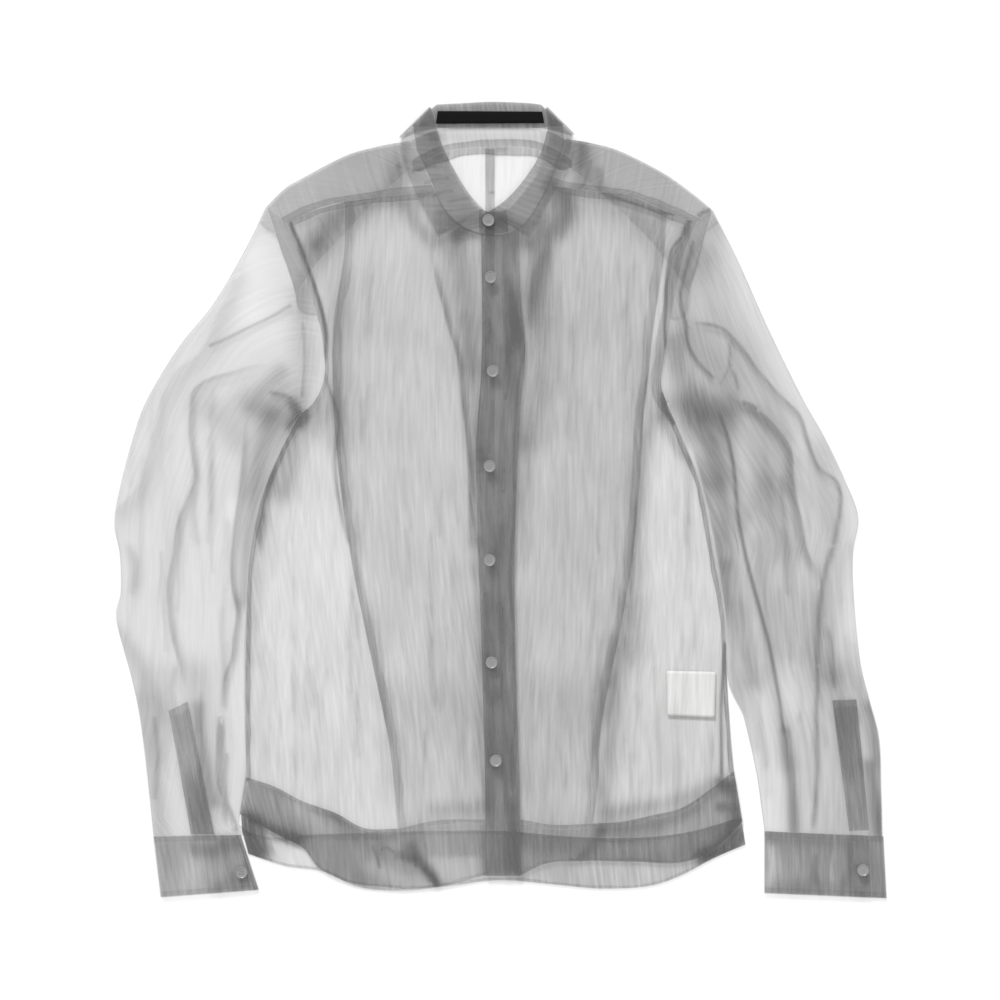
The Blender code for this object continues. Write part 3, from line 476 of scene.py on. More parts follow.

# %% [markdown]
# How many plies lie at each point is worked out from lines too. A band is a turned edge or a
# seam allowance: inside its width there are more plies, and it ends sharply. A shade is a soft
# fold or a gathered place, where the cloth is denser and fades out again; a few shades are
# painted shadow instead, plies added where the collar leaf's shadow falls.

# %% Plies
FOLD_STEP_MM = 6.0
FOLD_REACH = 3.2
LEAST_COVER = 0.2
THIN_PLIES = 1.6
CRISP_MM = 3.5
LEAST_CREASE_MM = 2.0
CREASE_SHARPNESS = 1.25
CREASE_KEPT = 2.0
CREASE_GONE = 2.8
CREASE_TAPER = 0.03
WIDE_CREASE_TAPER = 0.2
BAND_WANDER = 0.22
BAND_WAVE = 17.0
BAND_SEED = 77
FAR = 9.0


def folded_line(line):
    """A fold's line with a point every few millimetres."""
    return smooth(line, max(6, int(length_of(line) / FOLD_STEP_MM)))


def close_to(line, points, reach):
    """Which points of a grid lie within reach of the box round a line."""
    low, high = line.min(axis=0) - reach, line.max(axis=0) + reach
    return ((points[..., :2] > low) & (points[..., :2] < high)).all(axis=-1)


def plies_at(points, base, bands=(), folds=()):
    """What the gauze reads at each point of a grid: cover, bands and creases.

    A band is (line, width, extra plies). A fold is (extra plies, width to its left hand, width to
    its right hand, line), as in the tables of folds. A fold with a thin side is a crease, and the
    nearest crease counts. It tapers out at its ends.
    """
    shape = points.shape[:2]
    cover = np.broadcast_to(np.asarray(base, float), shape).copy()
    crease, crease_plies = np.full(shape, FAR), np.zeros(shape)
    for extra, left_hand, right_hand, line in folds:
        crisp = min(left_hand, right_hand) < CRISP_MM and abs(extra) > THIN_PLIES
        if crisp:
            left_hand, right_hand = max(left_hand, LEAST_CREASE_MM), max(right_hand, LEAST_CREASE_MM)
        line = folded_line(line)
        near = close_to(line, points, FOLD_REACH * max(left_hand, right_hand))
        if not near.any():
            continue
        distance, share, hand = (values[0] for values in away_from(line, points[near][None]))
        widths = distance / np.where(hand > 0, left_hand, right_hand)
        if crisp:
            signed = CREASE_SHARPNESS * widths * hand
            end = CREASE_TAPER if max(left_hand, right_hand) < CRISP_MM else WIDE_CREASE_TAPER
            taper = ease(0, end, share) * ease(0, end, 1 - share)
            height = extra * taper * (1 - ease(CREASE_KEPT, CREASE_GONE, np.abs(signed)))
            nearer = np.abs(signed) < np.abs(crease[near])
            crease[near] = np.where(nearer, signed, crease[near])
            crease_plies[near] = np.where(nearer, height, crease_plies[near])
        else:
            cover[near] += extra * np.exp(-(widths ** 2))
    cover = np.maximum(cover, LEAST_COVER)
    band, plies = np.full(shape, FAR), np.zeros(shape)
    wander = uneven(points[..., 0] / BAND_WAVE, points[..., 1] / BAND_WAVE, BAND_SEED)
    for line, width, extra in bands:
        ratio = away_from(np.asarray(line, float), points)[0] / width
        ratio = ratio * (1 + BAND_WANDER * wander)
        nearer = ratio < band
        band[nearer] = ratio[nearer]
        plies[nearer] = extra
    return {
        "cover": cover, "band": band, "plies": plies, "crease": crease, "crease_plies": crease_plies
    }


def give(piece, facts):
    """Writes the per-point facts onto a mesh made from the same grid, bottom row first."""
    for name, values in facts.items():
        layer = piece.data.attributes.get(name) or piece.data.attributes.new(name, "FLOAT", "POINT")
        layer.data.foreach_set("value", values[::-1].reshape(-1).astype(np.float32))


def gauze_piece(name, points, facts, node, finish=None):
    """An open sheet of gauze through a grid of points, with its plies and its place in the frame."""
    piece = cloth_mesh(name, points, facts["cover"])
    give(piece, facts)
    return dressed(piece, node, finish or crinkled_gauze)


def raised(points, height):
    """The same plan points at a height: one number, or one for each point."""
    return np.dstack([points[..., :2], np.broadcast_to(height, points.shape[:2])])


BODY_SEED = 11
BODY_RELIEF = 0.30


def crinkled(points, amount=BODY_RELIEF):
    """Body cloth with its crinkles. All layers share them, so that they never cross."""
    lifted = points.copy()
    lifted[..., 2] += amount * crinkle(points[..., 0], points[..., 1], BODY_SEED)
    return lifted


print("a crease takes over where a fold is narrower than", CRISP_MM, "mm on one side")

# %% [markdown]
# The folds of the worn-in cloth are what make this shirt look like cloth. Each row of these
# tables is one of them: how many plies it adds, how far it fades out on its left hand and on its
# right hand, and the line it follows, mostly walked from the shoulder down. A fold that has a
# small width on one side and a large one on the other looks turned over, with a crisp edge. A
# row with plies below zero thins the cloth out. A few rows are painted shadow, not folds: plies
# added on the stand and on the fronts along the front edges of the collar leaf, where its shadow
# falls. The sleeves, the fronts, the placket, the collar and its stand, the yoke and the back at
# the neck, the hem facings, the cuffs and the back each have a table.

# %% Tables of folds
SLEEVE_RIGHT_FOLDS = [
    (1.4, 12, 1.5, [(-251, 209), (-272, 165), (-282, 142), (-307, 122), (-320, 98), (-326, 76), (-333, 45),
        (-341, 16), (-361, -6)]),
    (3.7, 3, 2, [(-197, 187), (-217, 175), (-246, 161), (-269, 150), (-277, 147)]),
    (4.1, 5, 1.8, [(-208, 129), (-233, 128), (-253, 122), (-282, 112), (-290, 105), (-293, 88), (-294, 65),
        (-291, 40), (-289, 21), (-296, 2), (-306, -25), (-310, -56), (-314, -75), (-314, -96), (-310, -131),
        (-305, -149), (-299, -175), (-293, -187)]),
    (2.9, 8, 8, [(-208, 124), (-222, 110), (-236, 90)]),
    (5.1, 4, 1.6, [(-238, 88), (-241, 74), (-243, 45), (-247, 4), (-252, -32), (-254, -56), (-253, -84),
        (-249, -103), (-252, -131), (-254, -149), (-261, -168), (-263, -187), (-265, -210)]),
    (4.8, 3, 3, [(-265, -203), (-268, -238), (-266, -272), (-256, -294), (-249, -315)]),
    (3.4, 1.6, 1.6, [(-259, -238), (-261, -267), (-259, -285), (-252, -307)]),
    (3.4, 9, 9, [(-219, 82), (-230, 39), (-238, -18), (-243, -94)]),
    (5.1, 3, 3, [(-219, 103), (-208, 101), (-197, 97)]),
    (2.9, 1.6, 1.6, [(-187, 170), (-186, 137), (-188, 98)]),
    (1.8, 8, 13, [(-361, -126), (-345, -149), (-336, -168), (-324, -189), (-318, -201)]),
    (2.0, 11, 11, [(-341, -189), (-333, -227), (-327, -275), (-322, -317)]),
    (2.4, 3, 3, [(-328, -203), (-325, -246), (-328, -284)]),
    (1.4, 5, 5, [(-351, -45), (-345, -66), (-348, -85)]),
    (3.2, 5, 5, [(-289, -320), (-271, -320), (-251, -320)]),
    (2.2, 18, 18, [(-240, 92), (-222, 84), (-200, 82)]),
    (2.6, 16, 16, [(-205, 74), (-214, 40), (-222, 12)]),
    (-1.0, 10, 10, [(-250, -5), (-253, -80)]),
    (1.8, 16, 16, [(-288, -165), (-284, -230), (-278, -300)]),
    (1.1, 14, 14, [(-322, -165), (-318, -240)]),
    (4.0, 3, 6, [(-262, -196), (-264, -250), (-258, -312)]),
    (4.0, 6, 6, [(-287, -195), (-282, -240), (-272, -285)]),
    (1.6, 8, 8, [(-186, 180), (-180, 140), (-186, 100)]),
    (-0.8, 22, 22, [(-236, 235), (-236, 180)]),
    (9.0, 5, 5, [(-196, 92), (-192, 84), (-198, 72)]),
    (2.0, 9, 9, [(-205, 108), (-212, 96), (-222, 84)]),
    (1.6, 14, 14, [(-282, 92), (-262, 75), (-248, 58)]),
]
SLEEVE_LEFT_FOLDS = [
    (7.1, 1.8, 2.4, [(184, 248), (175, 214), (171, 192), (176, 170), (178, 151), (192, 127), (205, 115)]),
    (5.4, 2.2, 3, [(181, 170), (212, 163), (224, 151), (250, 117), (267, 98), (284, 81), (291, 60),
        (304, 30), (321, 16), (323, 4), (320, -23), (312, -56), (308, -67), (303, -96), (300, -131),
        (301, -168), (300, -201), (301, -248), (297, -316)]),
    (5.4, 3, 3.4, [(316, -42), (308, -67), (304, -94), (301, -132), (301, -156)]),
    (5.9, 1.8, 8, [(209, 107), (228, 93), (241, 87), (260, 71), (275, 49), (277, 21), (284, -15),
        (294, -56), (301, -67), (303, -79)]),
    (8.5, 3, 3, [(229, 93), (236, 91), (244, 87)]),
    (8.0, 16, 16, [(182, 92), (194, 83), (212, 84)]),
    (4.2, 12, 12, [(192, 77), (200, 50), (206, 20)]),
    (8.8, 2, 2.6, [(207, 88), (217, 57), (222, 28), (225, -8), (234, -56), (240, -79), (254, -131),
        (263, -178), (270, -224)]),
    (5.6, 5, 5, [(270, -219), (277, -272), (279, -316)]),
    (4.3, 7, 2, [(181, 60), (192, 21), (201, -18), (208, -56), (210, -67), (214, -107), (218, -131)]),
    (2.5, 24, 24, [(239, 67), (253, 20), (264, -37), (273, -94), (281, -142)]),
    (3.4, 9, 9, [(202, 58), (210, 1), (220, -56), (231, -113), (241, -170)]),
    (3.4, 3, 4, [(310, -114), (315, -142), (317, -182)]),
    (5.5, 6, 7, [(349, -251), (356, -284), (360, -315)]),
    (2.9, 1.6, 1.6, [(218, 151), (217, 127), (209, 110)]),
    (2.9, 1.6, 1.6, [(222, 124), (226, 105)]),
    (2.4, 20, 20, [(200, 225), (205, 191), (228, 143), (261, 77)]),
    (3.6, 18, 18, [(181, 160), (195, 135), (215, 112)]),
    (2.0, 12, 12, [(206, 262), (197, 240), (188, 215)]),
    (2.2, 18, 18, [(306, 45), (311, -60), (311, -140), (314, -160)]),
    (2.0, 8, 8, [(208, 20), (212, -20), (214, -60)]),
    (2.0, 9, 9, [(216, 66), (223, 20), (229, -25)]),
    (2.0, 10, 10, [(243, -40), (250, -90), (256, -140)]),
    (1.5, 10, 10, [(272, 60), (276, 15)]),
    (1.4, 9, 9, [(226, -100), (232, -160), (240, -230)]),
    (2.2, 10, 10, [(175, 92), (182, 62)]),
    (2.6, 6, 6, [(214, -60), (218, -110), (221, -150), (226, -200)]),
    (1.5, 12, 12, [(250, 40), (262, -20), (268, -50)]),
    (1.6, 12, 12, [(252, 20), (240, -10)]),
    (2.4, 26, 26, [(318, -170), (324, -240), (322, -318)]),
    (0.6, 16, 16, [(284, -185), (292, -250), (296, -318)]),
    (2.2, 9, 9, [(352, -170), (361, -212), (363, -245)]),
    (5.0, 8, 8, [(352, -196), (358, -240), (361, -280), (362, -318)]),
    (1.0, 12, 12, [(272, -215), (278, -270), (281, -318)]),
    (3.4, 13, 13, [(163, 150), (176, 118), (192, 96)]),
    (1.8, 9, 9, [(254, -160), (264, -200), (274, -250)]),
]
FRONT_RIGHT_FOLDS = [
    (12.0, 1.6, 1.8, [(-200, 267), (-186, 233), (-176, 204), (-169, 180), (-165, 156), (-166, 139),
        (-173, 112), (-184, 89)]),
    (14.0, 4, 4, [(-192, 92), (-185, 85), (-190, 74)]),
    (3.2, 15, 15, [(-44, 262), (-37, 215), (-30, 170), (-26, 130)]),
    (5.9, 5, 3, [(-190, 85), (-206, 60), (-216, 28), (-224, -3), (-228, -28), (-231, -56)]),
    (1.8, 9, 4, [(-227, -18), (-232, -56), (-236, -94), (-239, -151)]),
    (9.0, 1.6, 1.8, [(-202, 268), (-186, 277), (-161, 283), (-143, 285), (-107, 292)]),
    (4.2, 11, 11, [(-184, 236), (-170, 254), (-150, 272)]),
    (2.0, 14, 14, [(-160, 262), (-157, 200), (-155, 130), (-156, 60)]),
    (2.6, 18, 18, [(-186, 84), (-170, 88)]),
    (3.6, 13, 13, [(-192, 66), (-202, 40), (-208, 12)]),
    (-0.7, 12, 12, [(-202, -140), (-200, -225)]),
    (1.0, 10, 10, [(-122, -120), (-112, -190), (-104, -260)]),
    (0.9, 12, 12, [(-37, -70), (-36, -170), (-34, -285)]),
    (2.4, 8, 8, [(-60, -292), (-36, -292), (-16, -292)]),
    (4.3, 4, 4, [(-175, 242), (-171, 248)]),
    (1.0, 12, 8, [(-141, 273), (-110, 282), (-81, 281)]),
    (5.1, 5, 1.8, [(-68, 250), (-62, 219), (-54, 188), (-47, 161), (-41, 143), (-35, 92), (-30, 50),
        (-28, -13), (-28, -56)]),
    (2.6, 9, 7, [(-33, 172), (-29, 134), (-24, 86), (-22, 29), (-22, -37)]),
    (2.2, 6, 5, [(-22, -37), (-21, -113), (-19, -208), (-17, -284)]),
    # Painted shade: the next two rows add plies under the point and along the front edge of the collar
    # leaf, where the leaf's shadow falls.
    (8.6, 4, 4, [(-16, 273), (-25, 263), (-40, 255)]),
    (4.0, 6, 6, [(-17, 258), (-30, 254), (-42, 250)]),
    (2.4, 10, 10, [(-178, 120), (-178, 98)]),
    (3.0, 8, 8, [(-62, 246), (-80, 264), (-98, 292)]),
    (7.4, 4, 4, [(-241, -307), (-238, -320), (-234, -333)]),
    (6.2, 7, 5, [(-233, -309), (-214, -315), (-194, -320)]),
    (4.9, 6, 5, [(-85, -327), (-76, -343), (-66, -356)]),
    (8.8, 3, 3, [(-73, -347), (-65, -356), (-59, -364)]),
    (4.2, 1.6, 1.6, [(-121, -327), (-116, -339), (-114, -349)]),
    (4.2, 1.6, 1.6, [(-114, -332), (-108, -328), (-101, -333)]),
    (3.8, 2, 2.6, [(-170, 132), (-160, 101), (-154, 84), (-157, 33), (-151, -8), (-143, -42)]),
]
FRONT_LEFT_FOLDS = [
    (11.0, 3, 3, [(200, 276), (190, 272), (180, 266), (174, 252)]),
    (2.4, 12, 12, [(40, 262), (34, 215), (30, 195)]),
    (4.2, 9, 9, [(60, 300), (58, 275), (46, 254)]),
    (4.0, 10, 10, [(62, 292), (66, 275), (58, 258)]),
    (2.6, 12, 12, [(156, 140), (156, 110), (160, 84)]),
    # Painted shadow: the next row adds plies along the front edge of the collar leaf, where the leaf's
    # shadow falls.
    (4.0, 7, 7, [(-4, 256), (10, 250), (26, 244)]),
    (1.5, 12, 12, [(150, 95), (132, 30), (131, -60), (130, -140)]),
    (3.1, 12, 12, [(112, -135), (104, -200), (100, -260), (96, -300)]),
    (3.0, 8, 8, [(100, -296), (140, -290), (175, -282), (205, -268)]),
    (5.0, 9, 9, [(222, -268), (227, -296), (216, -322)]),
    (9.2, 1.6, 1.8, [(174, 252), (164, 240), (159, 216), (157, 184), (156, 161), (158, 142)]),
    (2.9, 7, 7, [(176, 256), (171, 227), (165, 191), (164, 158), (167, 123)]),
    (8.5, 3, 3, [(155, 104), (157, 85), (167, 73)]),
    (2.7, 5, 5, [(153, 79), (173, 45), (181, 38)]),
    (8.5, 1.8, 1.8, [(191, 276), (156, 273), (133, 280), (95, 293)]),
    (0.6, 10, 8, [(142, 265), (109, 276), (80, 280)]),
    (4.1, 9, 3, [(48, 252), (34, 219), (28, 188), (25, 157)]),
    (2.6, 12, 12, [(36, 243), (38, 191), (38, 143), (35, 96), (26, 58)]),
    (1.3, 8, 8, [(25, 58), (22, 1), (20, -56)]),
    (7.6, 1.8, 1.8, [(214, -132), (210, -189), (210, -262)]),
    (4.6, 2, 2, [(216, -132), (219, -201), (225, -248), (228, -272)]),
    (9.5, 4, 4, [(209, -266), (217, -270), (225, -268)]),
    (8.5, 3.5, 3.5, [(208, -290), (214, -290), (222, -291)]),
    (16.0, 5, 4, [(190, -338), (207, -332), (220, -322), (225, -309)]),
    (4.6, 5, 4, [(93, -312), (83, -332), (71, -343), (57, -356)]),
    (4.9, 4, 4, [(96, -309), (96, -314)]),
    (4.6, 1.6, 1.8, [(140, 121), (136, 88), (134, 40), (127, -37), (127, -67), (117, -114), (108, -162),
        (102, -182)]),
    (2.7, 9, 3, [(140, 115), (134, 39), (125, -56), (115, -132), (100, -218)]),
]
PLACKET_FOLDS = [
    (6.7, 1.6, 1.6, [(-16, 248), (-16, 191), (-15, 156), (-19, 114), (-21, 71), (-21, 50)]),
    (8.4, 1.8, 1.8, [(22, 191), (24, 148), (18, 114), (15, 82), (14, 29), (14, -13), (10, -56), (13, -132),
        (14, -208), (11, -251), (13, -284)]),
    (8.1, 5, 5, [(7, 208), (12, 181), (15, 158), (8, 143)]),
    (8.1, 6, 6, [(13, 176), (16, 159)]),
    (6.3, 2, 2, [(-11, 174), (-9, 162), (-12, 148)]),
    (6.7, 2, 2, [(7, 143), (8, 120), (5, 96)]),
    (5.0, 1.6, 1.6, [(-7, 96), (-9, 58), (-10, 44)]),
    (8.8, 4, 4, [(-19, 48), (-19, 41)]),
    (8.5, 2.6, 2.6, [(-21, 29), (-20, 27)]),
    (7.6, 2.4, 2.4, [(3, 29), (4, 28)]),
    (7.6, 2.4, 2.4, [(3, 10), (4, 9)]),
    (6.1, 5, 5, [(0, -26), (-1, -37), (-4, -49)]),
    (5.1, 3, 3, [(-13, -85), (-14, -132), (-15, -180)]),
    (5.1, 3, 3, [(0, -94), (2, -132), (0, -189)]),
    (8.8, 4, 4, [(12, -284), (14, -313), (15, -347)]),
    (5.4, 5, 5, [(-12, -180), (-7, -189), (-3, -180)]),
    (1.2, 16, 16, [(-8, -190), (-6, -285)]),
    (1.6, 10, 10, [(-12, -135), (-12, -240)]),
    (3.0, 8, 8, [(12, 190), (14, 150)]),
    (2.0, 7, 7, [(14, -290), (15, -350)]),
]
# Painted shadow: both rows add plies on the stand along the front edges of the collar leaf, where the
# leaf's shadow falls. They are not folds.
STAND_LEAF_SHADOW = [
    (5.0, 7, 7, [(-12, 269), (-30, 262), (-46, 255)]),
    (5.0, 7, 7, [(-6, 268), (8, 260), (24, 252)]),
]
COLLAR_FOLDS = [
    (3.0, 7, 4, [(-16, 272), (-36, 262), (-56, 254)]),
    (3.6, 8, 5, [(-6, 272), (10, 262), (26, 253)]),
    (5.0, 2.2, 2.2, [(-84, 312), (-73, 315), (-60, 318)]),
    (4.0, 2.0, 2.0, [(-72, 301), (-60, 305), (-48, 306)]),
    (3.7, 2.4, 2.4, [(-64, 289), (-54, 293), (-44, 294)]),
    (3.3, 2.2, 2.2, [(-50, 283), (-38, 286), (-27, 287)]),
    (2.2, 4, 4, [(-57, 275), (-43, 277), (-29, 278)]),
    (6.7, 4, 4, [(66, 341), (60, 326), (52, 313), (43, 297)]),
    (2.4, 6, 6, [(53, 299), (45, 281), (36, 265)]),
    (4.4, 3.6, 3.6, [(9, 264), (15, 260), (21, 257)]),
    (3.1, 2.4, 2.4, [(28, 333), (20, 314), (7, 294)]),
    (-2.7, 1.6, 1.6, [(35, 311), (22, 294), (7, 276)]),
]
YOKE_FOLDS = [
    (5.4, 5, 5, [(77, 337), (78, 330), (76, 321)]),
    (3.6, 4, 4, [(94, 313), (95, 305), (95, 297)]),
    (5.3, 2, 2, [(86, 293), (93, 293)]),
    (7.1, 3, 3, [(-97, 320), (-95, 315)]),
    (3.7, 3, 3, [(-101, 290), (-95, 287), (-89, 282)]),
    (2.3, 10, 10, [(-97, 324), (-99, 305), (-91, 286), (-78, 273)]),
    (3.2, 11, 11, [(78, 337), (79, 314), (72, 290), (57, 273)]),
    (3.3, 1.6, 1.6, [(71, 333), (62, 310), (49, 281)]),
    (3.3, 1.6, 1.6, [(87, 324), (79, 300), (60, 275)]),
    (7.1, 2.6, 2.6, [(200, 276), (193, 274), (188, 270)]),
]
NECK_SHADES = [
    (1.8, 10, 10, [(-68, 346), (-20, 345), (20, 345), (60, 346)]),
    (3.0, 6, 6, [(-68, 352), (-60, 345)]),
]
HEM_FOLDS = [
    (4.0, 9, 9, [(-240, -304), (-222, -311), (-205, -318)]),
    (-2.2, 10, 10, [(-197, -287), (-180, -300), (-162, -313)]),
    (-2.6, 9, 9, [(-122, -347), (-104, -356), (-86, -362)]),
    (-1.4, 7, 7, [(-110, -313), (-102, -326), (-94, -336)]),
    (2.5, 3, 3, [(-238, -316), (-165, -319), (-95, -320)]),
    (3.0, 4, 4, [(-175, -290), (-163, -295), (-152, -298)]),
    (3.0, 4, 4, [(-157, -298), (-150, -304), (-143, -309)]),
    (7.0, 5, 4, [(-95, -336), (-78, -341), (-59, -364)]),
    (-1.0, 16, 16, [(-150, -330), (-110, -345)]),
    (-2.4, 12, 12, [(28, -340), (50, -342), (66, -340)]),
    (2.6, 6, 6, [(96, -312), (130, -309), (160, -303), (186, -292)]),
    (-2.2, 9, 9, [(110, -330), (140, -328), (165, -322)]),
    (4.0, 9, 9, [(222, -272), (228, -296), (216, -322)]),
]
CUFF_RIGHT_FOLDS = [
    (4.0, 7, 7, [(-287, -331), (-272, -331)]),
    (5.0, 7, 7, [(-262, -326), (-246, -322)]),
    (4.5, 7, 7, [(-268, -368), (-250, -358), (-238, -352)]),
    (-3.0, 6, 6, [(-246, -352), (-238, -354)]),
    (-1.8, 10, 10, [(-292, -340), (-290, -365)]),
]
CUFF_LEFT_FOLDS = [
    (2.4, 6, 6, [(256, -318), (300, -320), (340, -322)]),
    (-4.2, 9, 6, [(256, -330), (258, -344), (253, -360)]),
    (3.0, 3, 5, [(302, -332), (299, -346), (301, -366)]),
    (-2.0, 4, 3, [(318, -328), (314, -348), (318, -366)]),
    (3.0, 4, 4, [(330, -326), (332, -346), (326, -362)]),
    (2.2, 8, 8, [(262, -368), (300, -366), (340, -371)]),
]
BACK_FOLDS = [
    (17.0, 12, 12, [(-240, -310), (-237, -320), (-232, -332)]),
    (10.0, 8, 8, [(196, -338), (214, -332), (229, -318)]),
    (4.0, 7, 5, [(-233, -312), (-214, -318), (-194, -324)]),
    (6.0, 5, 5, [(-61, 341), (-57, 333)]),
    (3.6, 6.5, 6.5, [(-9, 338), (2, 338)]),
    (3.0, 2, 2, [(-11, 293), (-5, 293)]),
]
print("folds drawn by hand on the sleeves:", len(SLEEVE_RIGHT_FOLDS), len(SLEEVE_LEFT_FOLDS))

# %% [markdown]
# Between the large folds the cloth has many thin ones that nobody can list. They are drawn by
# lot from a fixed seed: each starts somewhere on the panel, runs along the threads with a slight
# wander and is only a few millimetres wide.

# %% Thin creases
THIN_LENGTH = (30, 130)
THIN_POINTS = 5
THIN_WANDER = 1.6
THIN_CRISP_SIDE = (1.5, 2.0)
THIN_SOFT_SIDE = (2.0, 4.5)
THIN_PLIES_ADDED = (0.3, 1.2)


def thin_creases(box, count, seed, lean=0.0):
    """Rows like those of the tables, for thin folds inside a box (x low, x high, y low, y high)."""
    draw = np.random.default_rng(seed)
    rows = []
    for _ in range(count):
        x, y = draw.uniform(box[0], box[1]), draw.uniform(box[2], box[3])
        length = draw.uniform(*THIN_LENGTH)
        steps = np.linspace(0, 1, THIN_POINTS)
        wander = np.cumsum(draw.normal(0, THIN_WANDER, THIN_POINTS)) + lean * length * steps
        line = [(x + dx, y - length * step) for dx, step in zip(wander, steps)]
        crisp, soft = draw.uniform(*THIN_CRISP_SIDE), draw.uniform(*THIN_SOFT_SIDE)
        hands = (crisp, soft) if draw.random() < 0.5 else (soft, crisp)
        rows.append((draw.uniform(*THIN_PLIES_ADDED), *hands, line))
    return rows


FRONT_RIGHT_FOLDS += thin_creases((-225, -25, -260, 240), 70, 5)
FRONT_LEFT_FOLDS += thin_creases((25, 200, -260, 240), 64, 6)
SLEEVE_RIGHT_FOLDS += thin_creases((-350, -250, -230, 120), 34, 7)
SLEEVE_LEFT_FOLDS += thin_creases((215, 335, -230, 80), 34, 8, 0.12)
PLACKET_FOLDS += thin_creases((-18, 18, -240, 240), 26, 9)
print("folds on the fronts, with the thin ones:", len(FRONT_RIGHT_FOLDS), len(FRONT_LEFT_FOLDS))

# %% [markdown]
# The two fronts are built as five zones side by side: a side, a facing and the placket for each
# half. They share their lines, so a facing is made from the very points of the front above it.
# The rows are about three millimetres apart, which is fine enough for the soft crinkles, and
# the shader draws anything finer.

# %% The fronts
ARMHOLE_STEPS = 88
SIDE_STEPS = 164
BODY_STEPS = ARMHOLE_STEPS + SIDE_STEPS
HEM_STEPS = 26
SIDE_ACROSS = 50
YOKE_ACROSS = 40
NECK_ACROSS = 30
PLACKET_ACROSS = 26
HEM_ROW = BODY_STEPS
LONG_LINE = 50
SEAM_LINE = 40
SHORT_LINE = 24
HEM_RISE_ROWS = (HEM_ROW - 3, HEM_ROW + 1)
SIDE_START_ROWS = (ARMHOLE_STEPS, ARMHOLE_STEPS + 8)
SIDE_END_ROWS = (HEM_ROW - 6, HEM_ROW - 2)
SIDE_SLOPE = 9
BESIDE_PLACKET = 2
LOW_PLIES = 0.5
LOW_BODY = (80, 240)
FRONT_YOKE_BAND = (6.0, 3.4)
FRONT_SIDE_BAND = (4.5, 2.4)
FRONT_NECK_BAND = (15.0, 0.6)


def body_zone(left, right, top, hem_top, hem):
    """One zone of a front, from its top seam through the edge of the hem facing to the hem."""
    upper_edge, lower_edge = smooth(hem_top, len(top)), smooth(hem, len(top))
    steps = np.linspace(0, 1, HEM_STEPS + 1)[:, None]
    ends = [upper_edge[k] + (lower_edge[k] - upper_edge[k]) * steps for k in (0, -1)]
    upper = patch(left, right, top, upper_edge)
    return below([upper, patch(ends[0], ends[1], upper_edge, lower_edge)])


def front_zones():
    """The five zones, from the wearer's right side to the left one."""
    edges = [
        chain((ARMHOLE_FRONT_RIGHT, ARMHOLE_STEPS), (SIDE_RIGHT, SIDE_STEPS)),
        smooth(FACING_EDGE_RIGHT, BODY_STEPS + 1),
        smooth(PLACKET_EDGE_RIGHT, BODY_STEPS + 1),
        smooth(PLACKET_EDGE_LEFT, BODY_STEPS + 1),
        smooth(FACING_EDGE_LEFT, BODY_STEPS + 1),
        chain((ARMHOLE_FRONT_LEFT, ARMHOLE_STEPS), (SIDE_LEFT, SIDE_STEPS)),
    ]
    tops = [
        smooth(YOKE_SEAM_RIGHT[:3], SIDE_ACROSS + 1),
        chain((YOKE_SEAM_RIGHT[2:], YOKE_ACROSS), (NECK_RIGHT, NECK_ACROSS)),
        smooth(NECK_MIDDLE, PLACKET_ACROSS + 1),
        chain((NECK_LEFT, NECK_ACROSS), (YOKE_SEAM_LEFT[:4], YOKE_ACROSS)),
        smooth(YOKE_SEAM_LEFT[3:], SIDE_ACROSS + 1),
    ]
    hem_tops = [HEM_TOP_RIGHT, HEM_TOP_MIDDLE_RIGHT, HEM_TOP_PLACKET, HEM_TOP_MIDDLE_LEFT, HEM_TOP_LEFT]
    hems = [HEM_RIGHT, HEM_MIDDLE_RIGHT, HEM_PLACKET, HEM_MIDDLE_LEFT, HEM_LEFT]
    zones = []
    for index, top in enumerate(tops):
        left, right = edges[index].copy(), edges[index + 1].copy()
        top = moved(top, 0, -SEAM)
        left[0], right[0] = top[0], top[-1]
        zones.append(body_zone(left, right, top, hem_tops[index], hems[index]))
    return zones


side_r, facing_r, placket_zone, facing_l, side_l = front_zones()
armhole_right, armhole_left = (
    smooth(line, SEAM_LINE) for line in (ARMHOLE_FRONT_RIGHT, ARMHOLE_FRONT_LEFT)
)
side_seam_right, side_seam_left = smooth(SIDE_RIGHT, SEAM_LINE), smooth(SIDE_LEFT, SEAM_LINE)
yoke_seam_right, yoke_seam_left, neck_right, neck_left = (
    smooth(line, SHORT_LINE) for line in (YOKE_SEAM_RIGHT, YOKE_SEAM_LEFT, NECK_RIGHT[:3], NECK_LEFT[1:])
)
facing_edge_right, facing_edge_left = (
    smooth(line, LONG_LINE) for line in (FACING_EDGE_RIGHT, FACING_EDGE_LEFT)
)


def front_height(grid, side_line, placket_rise):
    """The middle of the cloth: over the facings, a level up over the hem, low at the side seam."""
    rows = np.arange(grid.shape[0])[:, None]
    height = FRONT + MIDDLE_OF_WALL + LEVEL * ease(*HEM_RISE_ROWS, rows) + placket_rise
    to_side = away_from(side_line, grid)[0]
    down = LEVEL * (1 - ease(0, SIDE_SLOPE, to_side)) * ease(*SIDE_START_ROWS, rows)
    return height - down * (1 - ease(*SIDE_END_ROWS, rows))


